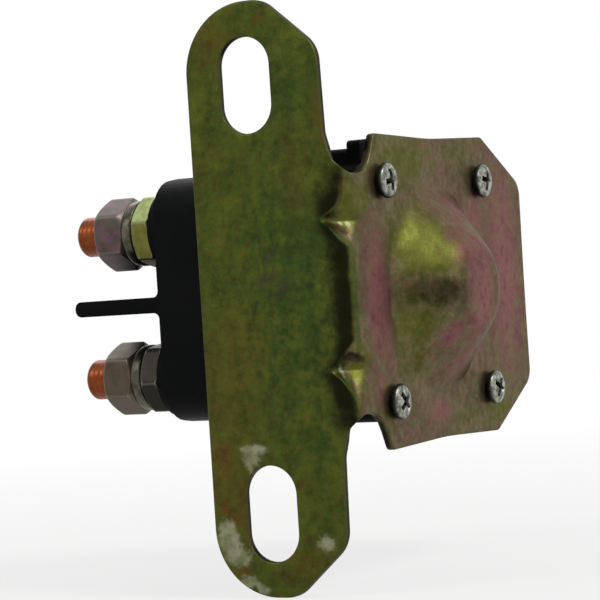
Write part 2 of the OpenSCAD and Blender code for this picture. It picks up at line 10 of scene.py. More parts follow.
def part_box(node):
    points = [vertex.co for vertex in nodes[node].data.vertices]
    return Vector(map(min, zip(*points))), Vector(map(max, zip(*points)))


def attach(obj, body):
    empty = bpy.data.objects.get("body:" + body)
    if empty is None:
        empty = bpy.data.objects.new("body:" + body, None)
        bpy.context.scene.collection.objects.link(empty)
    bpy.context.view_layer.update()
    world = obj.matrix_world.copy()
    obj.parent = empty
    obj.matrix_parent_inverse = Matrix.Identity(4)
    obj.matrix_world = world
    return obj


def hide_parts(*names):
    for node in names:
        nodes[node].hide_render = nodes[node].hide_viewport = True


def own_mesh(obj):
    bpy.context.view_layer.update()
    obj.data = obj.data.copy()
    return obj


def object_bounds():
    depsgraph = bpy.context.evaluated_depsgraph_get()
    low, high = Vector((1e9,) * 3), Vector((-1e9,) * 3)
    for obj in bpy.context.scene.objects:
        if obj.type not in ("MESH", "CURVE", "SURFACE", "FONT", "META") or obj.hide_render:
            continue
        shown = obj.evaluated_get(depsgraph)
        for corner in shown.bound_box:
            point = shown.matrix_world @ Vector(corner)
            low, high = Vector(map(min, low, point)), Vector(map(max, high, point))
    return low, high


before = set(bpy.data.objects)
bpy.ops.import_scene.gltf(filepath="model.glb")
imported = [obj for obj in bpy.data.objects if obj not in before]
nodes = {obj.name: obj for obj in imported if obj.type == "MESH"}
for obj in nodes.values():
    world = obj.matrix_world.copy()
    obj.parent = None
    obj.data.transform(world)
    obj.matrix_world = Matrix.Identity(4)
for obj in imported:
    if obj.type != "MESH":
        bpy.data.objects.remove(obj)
cad_low, cad_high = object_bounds()
scene = bpy.context.scene
mm = 0.001

# Camera.
# A long lens stands a little under half a metre off, right of the flange's face, and leans a few
# degrees, so that the relay tilts in the picture as it does in the photograph.
camera_azimuth, camera_elevation = math.radians(29.591), math.radians(0.382)
camera_roll = math.radians(-3.710)
camera_target, camera_distance = Vector((8.57, 0, -0.48)) * mm, 451.61 * mm
focal_length = 154.326


def in_scene(name, data):
    """Puts data in the scene as an object."""
    o = bpy.data.objects.new(name, data)
    scene.collection.objects.link(o)
    return o


turned = Matrix.Rotation(camera_azimuth, 4, "Z") @ Matrix.Rotation(math.pi / 2 - camera_elevation, 4, "X")
turned = turned @ Matrix.Rotation(camera_roll, 4, "Z")
lens = bpy.data.cameras.new("camera")
lens.lens = focal_length
lens.clip_start, lens.clip_end = 0.05, 20
camera = in_scene("camera", lens)
stand_off = Matrix.Translation((0, 0, camera_distance))
camera.matrix_world = Matrix.Translation(camera_target) @ turned @ stand_off
scene.camera = camera

# Studio.
# A pale floor under the relay's lower end, and a white surround that only the picture and the
# reflections see at full white. One broad soft lamp stands high on the right, one before the flange
# on the left, and a weaker one behind.
scene.view_settings.view_transform = "Standard"
surround_light = 0.42
floor_colour, floor_whitening, floor_reach = "#D9D9D6", 0.75, 8000
shadow_from, shadow_to = 0.1, 0.45
lamp_aim = Vector((0, 0.03, 0))
lamps = [("key_lamp", (0.58, -0.06, 0.62), 0.26, 3.0), ("flange_lamp", (-0.46, -0.62, 0.60), 0.36, 1.5),
         ("back_lamp", (-0.45, 0.55, 0.62), 0.40, 0.9)]


def colour(text):
    """A written sRGB colour as linear light."""
    parts = [int(text[i:i + 2], 16) / 255 for i in (1, 3, 5)]
    return (*[c / 12.92 if c <= 0.04045 else ((c + 0.055) / 1.055) ** 2.4 for c in parts], 1)


def add(tree, kind, links=None, **settings):
    """Adds a node with its properties, its sockets set or linked, and gives its outputs."""
    made = tree.nodes.new(kind)
    for name, value in settings.items():
        setattr(made, name, value)
    for name, value in (links or {}).items():
        if isinstance(value, bpy.types.NodeSocket):
            tree.links.new(value, made.inputs[name])
        else:
            made.inputs[name].default_value = colour(value) if str(value)[0] == "#" else value
    return made.outputs


def new_material(name):
    """An empty material, its node tree and the object's own coordinates in it."""
    material = bpy.data.materials.new(name)
    material.use_nodes = True
    material.node_tree.nodes.clear()
    return material, material.node_tree, add(material.node_tree, "ShaderNodeTexCoord")["Object"]


def new_mesh(name, points, faces):
    """A mesh of points in millimetres and the faces between them."""
    mesh = bpy.data.meshes.new(name)
    mesh.from_pydata((np.array(points, float) * mm).tolist(), [], faces)
    return mesh


def seen_directly(tree):
    """1 for rays from the camera, off metal or through glass, and 0 for the light on things."""
    path = add(tree, "ShaderNodeLightPath")
    seen = path["Is Camera Ray"]
    for kind in ("Is Glossy Ray", "Is Transmission Ray"):
        seen = add(tree, "ShaderNodeMath", {0: seen, 1: path[kind]}, operation="MAXIMUM")[0]
    return seen


world = bpy.data.worlds.new("white_surround")
scene.world = world
world.use_nodes = True
tree = world.node_tree
tree.nodes.clear()
strength = add(tree, "ShaderNodeMapRange", {"Value": seen_directly(tree), "To Min": surround_light})[0]
surround = add(tree, "ShaderNodeBackground", {"Color": "#FFFFFF", "Strength": strength})[0]
add(tree, "ShaderNodeOutputWorld", {"Surface": surround})

# Matt floor paper: pale grey, whiter away from the relay, so that its shadow fades into the surround.
floor_paper, tree, place = new_material("floor_matt_paper")
away = add(tree, "ShaderNodeVectorMath", {0: place}, operation="LENGTH")["Value"]
whiter = add(tree, "ShaderNodeMapRange", {
    "Value": away, "From Min": shadow_from, "From Max": shadow_to, "To Min": floor_whitening})[0]
share = add(tree, "ShaderNodeMath", {0: seen_directly(tree), 1: whiter}, operation="MULTIPLY")[0]
paper = add(tree, "ShaderNodeBsdfDiffuse", {"Color": floor_colour})[0]
white = add(tree, "ShaderNodeEmission", {"Color": "#FFFFFF", "Strength": 1.0})[0]
both = add(tree, "ShaderNodeMixShader", {0: share, 1: paper, 2: white})[0]
add(tree, "ShaderNodeOutputMaterial", {"Surface": both})

corners = [(x * floor_reach, y * floor_reach, cad_low.z / mm)
           for x, y in ((-1, -1), (1, -1), (1, 1), (-1, 1))]
floor = in_scene("floor", new_mesh("floor", corners, [(0, 1, 2, 3)]))
floor.data.materials.append(floor_paper)

for name, place, size, power in lamps:
    light = bpy.data.lights.new(name, "AREA")
    light.shape, light.size, light.energy = "DISK", size, power
    lamp = in_scene(name, light)
    lamp.location = Vector(place)
    lamp.rotation_mode = "QUATERNION"
    lamp.rotation_quaternion = (lamp_aim - lamp.location).to_track_quat("-Z", "Y")

# Mounting bracket.
# One strip of 1.5 mm steel: a slotted flange, a bend with two pressed gusset darts, and a base plate
# drawn into a hollow nose. Blanked, pressed, then zinc plated and dipped in yellow chromate. Its
# outline is laid out flat here, filled with a fine mesh, and folded.
sheet, bend_r = 1.5, 2.3
plate_x, plate_top, plate_half, flange_half = 18.1, 74.3, 28.4, 53
axis_y = 35.7
flange_end = plate_x - bend_r
plate_start = flange_end + bend_r * math.pi / 2
unfold = plate_start - bend_r
flat_axis = axis_y + unfold
# Flat outline of the upper half, from the far edge of the base plate to the flange: along, up, round
outline_half = [
    (plate_top + unfold, 19.2, 4), (58.3 + unfold, plate_half, 2), (flat_axis, 27.7, 120),
    (31.0, plate_half, 1.3), (29.3, 25.0, 2), (28.1, 23.1, 1.8), (26.5, 21.8, 2), (23.8, 21.2, 3),
    (21.0, 21.35, 3), (18.7, 22.0, 3), (16.9, 23.4, 2), (15.9, 25.4, 2), (15.1, plate_half, 5),
    (14.8, 43.8, 6), (4.3, flange_half, 6), (-12, flange_half, 12.4)]
outline_step, flange_step, flange_to, widest_turn = 0.3, 0.6, 13, 0.2
slot_half, slot_reach, slot_r = 38.1, 3.45, 5.15
screw_half, screw_hole_r = 19.85, 1.9
# The punched edge is drawn down round on the outer face and has a small burr on the inner one
rollover, burr_side = 0.35, 0.15
edge_turn = np.radians([90, 60, 30, 0])
nose_rim_r, nose_base_r, nose_top_r, nose_h = 22.3, 18.8, 7.6, 9.1
nose_foot_r, nose_end_r = 2.0, 3.4
dart_z, dart_flange, dart_plate = 13.2, 5.0, 6.6
dart_inner, dart_outer = 5.0, 8.6
dart_reach, dart_length = (-9, 16), (5, 32)
ridge_round, ridge_foot, lower_ridge, crease = 0.12, 0.07, 0.10, 0.13


def corner_arc(before, corner, after, r):
    """Centre, first angle and sweep of the arc that rounds a corner between its neighbours."""
    corner = np.array(corner[:2], float)
    arms = [np.array(p[:2], float) - corner for p in (before, after)]
    arms = [arm / np.linalg.norm(arm) for arm in arms]
    half = math.acos(float(np.clip(arms[0] @ arms[1], -1, 1))) / 2
    middle = arms[0] + arms[1]
    centre = corner + middle / np.linalg.norm(middle) * (r / math.sin(half))
    first, last = (corner + arm * (r / math.tan(half)) - centre for arm in arms)
    start = math.atan2(first[1], first[0])
    sweep = (math.atan2(last[1], last[0]) - start + math.pi) % (2 * math.pi) - math.pi
    return centre, start, sweep


def on_arc(centre, r, turns):
    """The points of an arc at these turns."""
    return [centre + r * np.array([math.cos(t), math.sin(t)]) for t in turns]


def rounded(corners):
    """A closed flat outline with each corner rounded by its own radius, as evenly spaced points."""
    line = []
    for i, corner in enumerate(corners):
        r = corner[2]
        centre, start, sweep = corner_arc(corners[i - 1], corner, corners[(i + 1) % len(corners)], r)
        count = max(2, round(abs(sweep) * r / outline_step), round(abs(sweep) / widest_turn))
        line += on_arc(centre, r, [start + sweep * k / count for k in range(count + 1)])
    spaced = []
    for p, q in zip(line, line[1:] + line[:1]):
        step = flange_step if max(p[0], q[0]) < flange_to else outline_step
        count = max(1, math.ceil(np.linalg.norm(q - p) / step))
        spaced += [p + (q - p) * k / count for k in range(count)]
    return np.array(spaced)


def inset(loop, distance):
    """The loop moved to its left by a small distance."""
    along = np.roll(loop, -1, 0) - np.roll(loop, 1, 0)
    along /= np.linalg.norm(along, axis=1)[:, None]
    return loop + distance * np.stack([-along[:, 1], along[:, 0]], 1)


def inside(points, loops):
    """True for the points that an odd number of loops go round."""
    odd = np.zeros(len(points), bool)
    for loop in loops:
        for (x0, z0), (x1, z1) in zip(loop, np.roll(loop, -1, 0)):
            if z0 != z1:
                crossed = (points[:, 1] < z0) != (points[:, 1] < z1)
                at = x0 + (points[:, 1] - z0) / (z1 - z0) * (x1 - x0)
                odd ^= crossed & (points[:, 0] < at)
    return odd


# The outline runs anticlockwise and the holes clockwise, so that the sheet is on the left of each
loops = [rounded(outline_half + [(x, -z, r) for x, z, r in outline_half[::-1]])]
for side in (-1, 1):
    round_end = [(slot_r * math.cos(a), slot_reach + slot_r * math.sin(a))
                 for a in np.linspace(0, math.pi, 40)]
    slot = np.array(round_end + [(-x, -z) for x, z in round_end]) + [0, slot_half * side]
    loops.append(slot[::-1])
    for across in (-1, 1):
        turn = np.linspace(0, 2 * math.pi, 40, endpoint=False)
        hole = np.stack([flat_axis + across * screw_half + screw_hole_r * np.cos(turn),
                         side * screw_half + screw_hole_r * np.sin(turn)], 1)
        loops.append(hole[::-1])

# Flat points: a few rows along every edge for its rounding, then an even filling
flat, edges, depth, rims = [], [], [], []
for loop in loops:
    count = len(loop)
    rims.append(range(len(flat), len(flat) + count))
    for distance in rollover * (1 - np.sin(edge_turn)):
        start = len(flat)
        flat += list(inset(loop, distance))
        depth += [distance] * count
        edges += [(start + k, start + (k + 1) % count) for k in range(count)]
edge_points = np.array(flat)

ring_step, ring_spacing = 0.55, 0.75
rings = [(0.0, 0.0)]
for r in np.arange(0.6, nose_rim_r + 1.5, ring_step):
    count = max(8, int(2 * math.pi * r / ring_spacing))
    rings += [(r * math.cos(2 * math.pi * k / count), r * math.sin(2 * math.pi * k / count))
              for k in range(count)]
filling = []
# Rows of points outside the nose: from and to along, from and to up, and their step
for x0, x1, z0, z1, step in (
        (-11.6, 10.0, -52.6, 52.6, 1.1), (10.5, 15.6, -52.6, -22, 0.9), (10.5, 15.6, 22, 52.6, 0.9),
        (10.4, 27.2, -21.5, 21.5, 0.42), (27.6, 91, -28, 28, 0.8), (20, 27.2, -28, -21.9, 0.6),
        (20, 27.2, 21.9, 28, 0.6)):
    x, z = np.meshgrid(np.linspace(x0, x1, round((x1 - x0) / step) + 1),
                       np.linspace(z0, z1, round((z1 - z0) / step) + 1))
    points = np.stack([x.ravel(), z.ravel()], 1)
    outside = np.hypot(points[:, 0] - flat_axis, points[:, 1]) > nose_rim_r + 1.6
    filling.append((points[outside], step))
filling.append((np.array(rings) + [flat_axis, 0], ring_step))
for points, step in filling:
    points = points[inside(points, loops)]
    near = np.full(len(points), 1e9)
    for block in np.array_split(edge_points, 40):
        apart = np.hypot(points[:, None, 0] - block[None, :, 0], points[:, None, 1] - block[None, :, 1])
        near = np.minimum(near, apart.min(1))
    kept = points[near > 0.55 * min(step, 0.6)]
    flat += list(kept)
    depth += [rollover] * len(kept)
points, _, triangles, come_from, *_ = delaunay_2d_cdt([Vector(p) for p in flat], edges, [], 0, 1e-6, True)
plane = np.array([tuple(p) for p in points])
inset_of = np.array([depth[ids[0]] if ids else rollover for ids in come_from])
new_place = {old: new for new, ids in enumerate(come_from) for old in ids}
triangles = np.array(triangles)
triangles = triangles[inside(plane[triangles].mean(1), loops)]

# Height of the nose over the distance from its axis, with a round at its foot and at its end
corners = [(nose_rim_r, 0), (nose_base_r, 0), (nose_top_r, nose_h), (0, nose_h)]
profile = [corners[0]]
for i, r in ((1, nose_foot_r), (2, nose_end_r)):
    centre, start, sweep = corner_arc(*corners[i - 1:i + 2], r)
    profile += on_arc(centre, r, start + sweep * np.linspace(0, 1, 14))
profile.append(corners[3])
nose_rho, nose_height = np.array(profile[::-1], float).T


def fold(points, side):
    """Folds flat points to the sheet's outer face, side 0, or its inner face, side 1: where each one
    lies, which way it faces, and how far a dart has pressed it."""
    s, z = points.T
    turn = np.clip((s - flange_end) / bend_r, 0, math.pi / 2)
    x = np.where(s < flange_end, s, flange_end + bend_r * np.sin(turn))
    y = bend_r * (1 - np.cos(turn)) + np.maximum(s - plate_start, 0)
    place = np.stack([x, y, z], 1)
    normal = np.stack([np.sin(turn), -np.cos(turn), np.zeros_like(s)], 1)

    # The drawn nose, and the slight waves that pressing leaves in the plate
    across = y - axis_y
    rho = np.maximum(np.hypot(across, z), 1e-6)
    drawn = s > plate_start
    place[:, 0] += np.where(drawn, np.interp(rho, nose_rho, nose_height), 0)
    rise = np.interp(rho + 0.05, nose_rho, nose_height) - np.interp(rho - 0.05, nose_rho, nose_height)
    slope = np.where(drawn, rise / 0.1, 0)
    tilted = np.stack([np.ones_like(s), -slope * across / rho, -slope * z / rho], 1)
    tilted /= np.linalg.norm(tilted, axis=1)[:, None]
    normal = np.where(drawn[:, None], tilted, normal)
    wave = 0.10 + 0.06 * np.sin(s / 7.1 + 1.3) * np.cos(z / 8.3) + 0.04 * np.sin(s / 15 - z / 11)
    place -= normal * (wave * np.clip((s - plate_start) / 6, 0, 1))[:, None]
    place -= normal * (sheet * side)

    # The darts push the bend inward up to two flanks that meet in a ridge: the flank towards the
    # middle is short and round, the outer one runs out flat, and both widen towards the plate
    span = math.hypot(dart_flange, dart_plate)
    push = np.array([-dart_plate / span, dart_flange / span, 0])
    gain = (dart_plate / dart_flange + dart_flange / dart_plate) / span
    level = 1 + side * sheet * math.hypot(1 / dart_flange, 1 / dart_plate, 1 / dart_inner)
    soft = crease * (1 + 2.5 * np.clip((s - 18) / 6, 0, 1))
    pressed = np.zeros_like(s)
    for up_side in (-1, 1):
        off = (z - dart_z * up_side) * up_side
        inner_flank = np.sqrt(np.minimum(off, 0) ** 2 + ridge_round) / dart_inner
        inner_flank = inner_flank / np.clip(0.55 + 0.2 * (s - 15.3), 0.5, 1.4)
        outer_flank = (off / dart_outer) * np.clip(2.4 - 0.62 * (s - 16.4), 0.85, 2.6)
        ridge = np.where(off < 0, inner_flank, ridge_foot + np.maximum(outer_flank, 0)) - ridge_foot
        ridge = ridge + (lower_ridge if up_side < 0 else 0) * np.clip((17 - s) / 3, 0, 1)
        short = (level - (plate_x - place[:, 0]) / dart_flange - place[:, 1] / dart_plate - ridge) / gain
        near = (off > dart_reach[0]) & (off < dart_reach[1]) & (s > dart_length[0]) & (s < dart_length[1])
        moved = np.where(near, soft * np.logaddexp(0, np.clip(short / soft, -40, 40)), 0)
        place = place + push * moved[:, None]
        pressed = np.maximum(pressed, np.clip(moved / 0.3, 0, 1))
    return place, normal, pressed


outer, outward, pressed = fold(plane, 0)
inner = fold(plane, 1)[0]
outer_drop = rollover - np.sqrt(np.maximum(rollover ** 2 - (rollover - inset_of) ** 2, 0))
inner_drop = burr_side - np.sqrt(burr_side ** 2 - np.maximum(burr_side - inset_of, 0) ** 2)
outer -= outward * outer_drop[:, None]
inner += outward * inner_drop[:, None]
count = len(plane)
faces = triangles.tolist() + (triangles[:, ::-1] + count).tolist()
for rim in rims:
    loop = [new_place[v] for v in rim]
    faces += [(b, a, a + count, b + count) for a, b in zip(loop, loop[1:] + loop[:1])]
bracket_mesh = new_mesh("bracket", np.vstack([outer, inner]), faces)

# Stains, worn places, painted shade and painted highlights: along, up, half length, half height, strength
spots = {
    "worn": [(-3, -26.6, 3.4, 1.2, 0.85), (-3.4, -28.2, 2.2, 1.6, 0.8), (-3.9, -29.9, 1.1, 1.5, 0.7),
             (-9.3, -42.4, 2.4, 3.3, 1), (-7.6, -45.6, 3, 2, 0.9), (-5.4, -50.2, 2.4, 1.2, 0.9),
             (-2.2, -51.8, 1.6, 0.7, 0.9), (10.9, -43.5, 2.3, 1.9, 0.75), (-2.2, -38.6, 1.2, 0.8, 0.4)],
    "pink": [(-3.4, -28, 2, 1.6, 0.6), (-7.9, -44.8, 1.7, 1.5, 0.7), (3.2, 3.7, 5, 4, 0.5),
             (28.6, -0.5, 4.4, 12, 1.1), (31, -8, 2.5, 5, 0.9), (52, 1, 6, 13, 1),
             (57, 14, 7, 4, 0.9), (70, 11.5, 5, 6, 0.8), (82, 3, 8, 20, 1), (66, -3, 7, 12, 1),
             (50, -22.6, 6, 2.4, 0.9), (45.6, -8.6, 3.5, 3, 0.8), (53, -14, 6, 5, 0.8),
             (74, 25.9, 5, 3, 0.4), (27.5, -17, 2, 3.5, 0.7), (-11, -27, 1.2, 3.5, 0.3),
             (25, -22.6, 3, 1.2, 0.5)],
    # Green: olive tones of the film; the patch at (41, 8) on the nose's upper flank is partly painted
    # highlight, and the spot at (20.4, -13.8) is a painted glint on the lower dart
    "green": [(-7.3, 40, 1.3, 9, 0.6), (9.4, 37.3, 5, 10, 0.7), (10.6, -26.9, 4, 5, 0.6),
              (7, 4, 8, 26, 0.8), (42, 23.8, 15, 5, 0.95), (62, 24.5, 10, 3, 0.6),
              (76, -24, 6, 3.5, 1), (62, -24.5, 9, 3, 0.6), (41, 8, 7, 6.5, 1.3),
              (38, -6, 5, 7, 0.95), (39.5, -12, 4, 5, 0.7), (8.8, -45.8, 3, 1.8, 0.6),
              (24.5, 17, 4.2, 4, 1), (20, 16, 3, 5, 1.3), (27, 12, 2, 4, 0.4),
              (23.2, -11.4, 2.4, 1.6, 1), (21, -17, 2.2, 3, 0.6), (20.4, -13.8, 1.7, 2.2, 1.4),
              (20.2, -9.4, 1.5, 1.5, 1.2), (-8, -50, 3, 1.2, 0.4), (30, -22, 5, 4, 0.5)],
    # Brown: stains, and the last six, from (61, -17) on, are painted shade in streaks at the foot of the
    # nose
    "brown": [(-5, -36, 6, 9, 0.5), (7, -47, 6, 5, 0.5), (-7, 46, 4, 7, 0.5), (9, 20, 4, 9, 0.4),
              (-9, -28.7, 2.7, 3.8, 0.7), (-9.8, -36.9, 1.3, 1, 0.9), (-7.1, -39, 2, 0.9, 0.9),
              (6.7, -33.2, 1, 1, 0.7), (-6.9, -48.2, 2.2, 1, 0.8), (3.4, 49.7, 1.6, 1.3, 0.6),
              (-2.2, 47.1, 1.4, 0.8, 0.5), (14.4, 31, 1, 4, 0.5), (61, -17, 2.2, 4.5, 0.6),
              (61.5, 16.6, 2, 3, 0.5), (64.5, 16, 0.6, 1.6, 0.9), (68.5, 12.6, 0.6, 1.4, 0.9),
              (68.4, -14.4, 0.6, 1.6, 1), (64.8, -16.6, 0.9, 1, 1)],
    # Dark spots: painted shade in a band across the nose, under its lit flank
    "dark": [(41.5, -0.6, 6, 2.8, 0.36), (45.5, -2.5, 1.6, 1.6, 0.25)]}
# Strokes of painted shade and painted highlights along the bend and the darts: half width, strength, and the
# points of their line
upper_edge = [(15.6, 11.6), (16.7, 10.6), (18, 9.4), (19.4, 8.6)]
strokes = {
    # Brown strokes: painted shade on the dart flanks and beside the lower dart's crest
    "brown": [(0.8, 0.8, (16.6, 12.3), (18.8, 11.3), (20.4, 11.2)), (1, 0.6, (17.4, 17), (19, 20.4)),
              (0.7, 1, (16.4, -10.6), (18.5, -11), (21.6, -11.5)),
              (0.9, 0.5, (15.2, -13.5), (16.2, -20))],
    # Green strokes: painted highlights along the end of the bend and on the darts' crests
    "green": [(0.9, 1, (20.2, 7.5), (20, 0), (20.2, -10)), (0.8, 1.3, *upper_edge),
              (0.9, 1.3, (16.6, -12.6), (17.4, -15.5), (18.9, -18.8))],
    # Worn strokes: painted glints along the darts' crests, in the pale zinc colour
    "worn": [(0.45, 0.35, *upper_edge), (0.45, 0.75, (18.5, 12.5), (18.8, 12.3)),
             (0.5, 0.8, (20.2, 12.4), (20.6, 12.2)), (0.55, 0.75, (16.6, -12.4), (17.2, -14.3)),
             (0.45, 0.4, (17.2, -14.5), (17.8, -16.7), (18.9, -18.8))],
    # Dark strokes: painted shade on the darts' flanks
    "dark": [(0.35, 0.6, (18, -10.4), (20.5, -10.9)), (0.7, 0.32, (16.8, 12.2), (19.6, 11.3)),
             (0.6, 0.3, (16.6, -10.8), (20.5, -11.4))]}

# Painted shade inside the bend, standing in for its dark reflection: it leaves the pressed darts clear and
# fades at the notches
s, z = plane.T
middle = np.interp(np.abs(z), [9, 12, 15, 20, 22], [17.7, 16.4, 15.8, 17.3, 17.5])
deepest = np.interp(z, [-24, -18, -13, -9, 0, 9, 13, 16, 19, 23],
                    [0.6, 0.72, 0.85, 0.72, 0.62, 0.72, 0.85, 0.7, 0.46, 0.34])
off_bend = (s - middle) / np.where(s < middle, 2.8, 0.95)
shade = deepest * np.exp(-off_bend ** 2) * (1 - pressed) * (1 + 0.12 * np.sin(z * 1.3))
shade *= np.clip((24.6 - np.abs(z)) / 2.5, 0, 1)


def store(name, on_outer, on_inner):
    """Keeps a field on the points of the bracket's outer and inner face."""
    layer = bracket_mesh.attributes.new(name, "FLOAT", "POINT")
    layer.data.foreach_set("value", np.concatenate([on_outer, on_inner]).astype(np.float32))


for name in spots:
    field = shade if name == "dark" else np.zeros(count)
    for along, up, half_along, half_up, strength in spots[name]:
        far = ((s - along) / half_along) ** 2 + ((z - up) / half_up) ** 2
        field = np.maximum(field, strength * np.exp(-far * 0.7))
    for half, strength, *line in strokes.get(name, []):
        for p, q in zip(np.array(line), np.array(line[1:])):
            share = np.clip((plane - p) @ (q - p) / np.sum((q - p) ** 2), 0, 1)
            far = np.linalg.norm(plane - p - share[:, None] * (q - p), axis=1) / half
            field = np.maximum(field, strength * np.exp(-far ** 2 * 0.7))
    store(name, field, field * 0.6)
on_plate = np.clip((s - 18.5 + 2.5 * pressed) / 3.0, 0, 1)
store("plate", on_plate, on_plate)
at_edge = np.clip(1 - inset_of / rollover, 0, 1)
store("sheared", at_edge, at_edge)
store("inner_edge", np.zeros(count), np.ones(count))


def remove(o):
    """Takes an object out of the scene, with its mesh if nothing else uses it."""
    mesh = o.data
    bpy.data.objects.remove(o)
    if mesh.users == 0:
        bpy.data.meshes.remove(mesh)


def turn_out(mesh):
    """Turns the faces of a closed mesh outward."""
    shell = bmesh.new()
    shell.from_mesh(mesh)
    bmesh.ops.recalc_face_normals(shell, faces=shell.faces)
    shell.to_mesh(mesh)
    shell.free()


def finish_mesh(name, mesh, material, sharp=None):
    """Puts a finished mesh in the scene at the origin, smooth up to its sharp angle in degrees."""
    turn_out(mesh)
    mesh.name = name
    mesh.materials.clear()
    mesh.materials.append(material)
    mesh.polygons.foreach_set("material_index", [0] * len(mesh.polygons))
    mesh.polygons.foreach_set("use_smooth", [True] * len(mesh.polygons))
    if sharp:
        mesh.set_sharp_from_angle(angle=math.radians(sharp))
    return in_scene(name, mesh)


def laid_over(tree, film, layers):
    """Lays hues over a film, each up to its share where its field runs from one value to another."""
    for field, low, high, most, hue in layers:
        share = add(tree, "ShaderNodeMapRange", {
            "Value": field, "From Min": low, "From Max": high, "To Max": most},
            interpolation_type="SMOOTHSTEP")[0]
        film = add(tree, "ShaderNodeMix", {"Factor": share, "A": film, "B": hue}, data_type="RGBA")["Result"]
    return film


# Yellow chromate on zinc plate: a thin film whose thickness wanders, so that the eye sees olive
# drift to green, straw and pink-brown, with pale zinc where the film has worn away. Painted shade lies
# in the bend, on the dart flanks, at the foot of the nose and in a band under its lit flank; painted
# highlights lie along the dart crests and partly on the nose.
chromate, tree, place = new_material("yellow_chromate_on_zinc_plate")
marks = {name: add(tree, "ShaderNodeAttribute", attribute_name=name)["Fac"]
         for name in (*spots, "plate", "sheared", "inner_edge")}
cloud, drift, patch, fleck, grain, warm, cool, dull = [
    add(tree, "ShaderNodeTexNoise", {
        "Vector": place, "Scale": 1 / (size * mm), "Detail": detail, "Roughness": 0.6})["Fac"]
    for size, detail in ((8, 4), (26, 2), (3.2, 3), (1.3, 3), (0.42, 2), (0.9, 3), (1.1, 3), (0.7, 3))]
# The flange's film is darker than the plate's: partly its own olive, partly painted shade for the flange's
# turn away from the light
films = [
    laid_over(tree, base, [
        (cloud, 0.36, 0.66, 1.0, pale), (drift, 0.48, 0.70, 0.7, brown), (warm, 0.42, 0.72, 0.5, red),
        (cool, 0.42, 0.72, 0.5, green), (dull, 0.48, 0.74, 0.4, grey)])
    for base, pale, brown, red, green, grey in (
        ("#3D4B16", "#565E1A", "#564E1A", "#6A4E1E", "#3A631D", "#4C4636"),
        ("#5E563A", "#6F664A", "#72534D", "#9A4B57", "#5E7D3E", "#8B6E71"))]
film = add(tree, "ShaderNodeMix", {
    "Factor": marks["plate"], "A": films[0], "B": films[1]}, data_type="RGBA")["Result"]
# Each mark is broken up by the patches, and has one hue on the flange and one on the plate. The last,
# darkest mark is painted shade; green also carries painted highlights and brown painted shade.
for name, low, broken, most, on_flange, on_plate in (
        ("green", 0.60, 1.5, 0.85, "#2F4A1B", "#5E6419"), ("brown", 0.55, 1.0, 0.85, "#6A4719", "#4C3818"),
        ("pink", 0.60, 1.5, 0.85, "#593F38", "#965963"), ("dark", 0.12, 0.7, 0.95, "#14130A", "#1B190C")):
    hue = add(tree, "ShaderNodeMix", {
        "Factor": marks["plate"], "A": on_flange, "B": on_plate}, data_type="RGBA")["Result"]
    wander = marks[name]
    for noise, weight in ((patch, broken), (fleck, broken * 0.6)):
        wander = add(tree, "ShaderNodeMath", {0: noise, 1: weight, 2: wander}, operation="MULTIPLY_ADD")[0]
    start = low - 0.4 + broken * 0.8
    film = laid_over(tree, film, [(wander, start, start + 0.85, most, hue)])
# Pale zinc where the film is worn; the same mark also lays painted glints along the dart crests
wear_and_glint_field = add(tree, "ShaderNodeMath", {0: fleck, 1: 0.8, 2: marks["worn"]}, operation="MULTIPLY_ADD")[0]
bare_zinc_and_glints = add(tree, "ShaderNodeMapRange", {
    "Value": wear_and_glint_field, "From Min": 0.66, "From Max": 1.2}, interpolation_type="SMOOTHSTEP")[0]
zinc = laid_over(tree, "#7B7C5E", [(patch, 0.35, 0.65, 1.0, "#A0A384")])
# Cut edges: darker olive, going near black towards the inner face as painted shade
sheared = laid_over(tree, "#4A4730", [(marks["inner_edge"], 0.12, 0.4, 1.0, "#11100A")])
film = laid_over(tree, film, [(bare_zinc_and_glints, 0, 1, 0.68, zinc), (marks["sheared"], 0.25, 0.9, 0.8, sheared),
                              (grain, 0.52, 0.80, 0.35, "#101107")])
# The painted shade also darkens the specular tint, so the reflections there go dark
specular_tint_with_painted_shade = laid_over(tree, "#D6D4C6", [(marks["dark"], 0.1, 0.7, 0.9, "#15150F")])
rough = add(tree, "ShaderNodeMapRange", {
    "Value": fleck, "From Min": 0.2, "From Max": 0.8, "To Min": 0.32, "To Max": 0.48})[0]
waves = add(tree, "ShaderNodeTexNoise", {"Vector": place, "Scale": 1 / (5 * mm), "Detail": 1.0})["Fac"]
dent = add(tree, "ShaderNodeBump", {"Strength": 0.5, "Distance": 0.5 * mm, "Height": waves})["Normal"]
skin = add(tree, "ShaderNodeBump", {
    "Strength": 0.35, "Distance": 0.05 * mm, "Height": grain, "Normal": dent})["Normal"]
surface = add(tree, "ShaderNodeBsdfPrincipled", {
    "Base Color": film, "Metallic": 0.8, "Roughness": rough, "Specular Tint": specular_tint_with_painted_shade, "Normal": skin})[0]
add(tree, "ShaderNodeOutputMaterial", {"Surface": surface})

bracket = finish_mesh("bracket", bracket_mesh, chromate)
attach(bracket, "relay")
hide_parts("mounting_bracket")

# Base screws.
# Four zinc plated pan head screws with cross recesses hold the bracket and gasket to the housing.
# Cold headed: a domed top with a rounded rim. Each stopped at its own turn.
screw_head_r, screw_head_h, screw_r, screw_len = 3.25, 2.0, 1.6, 12.0
crown_drop, rim_r, rim_level, rim_up, rim_down = 0.55, 0.62, 0.82, 0.78, 0.45
recess_reach, recess_w, recess_deep, recess_shade = 2.3, 1.05, 1.3, (1.63, 1.14)
screw_places = [(plate_x, axis_y + across * screw_half, side * screw_half)
                for side in (1, -1) for across in (-1, 1)]
screw_turns = [12, 78, 40, 62]


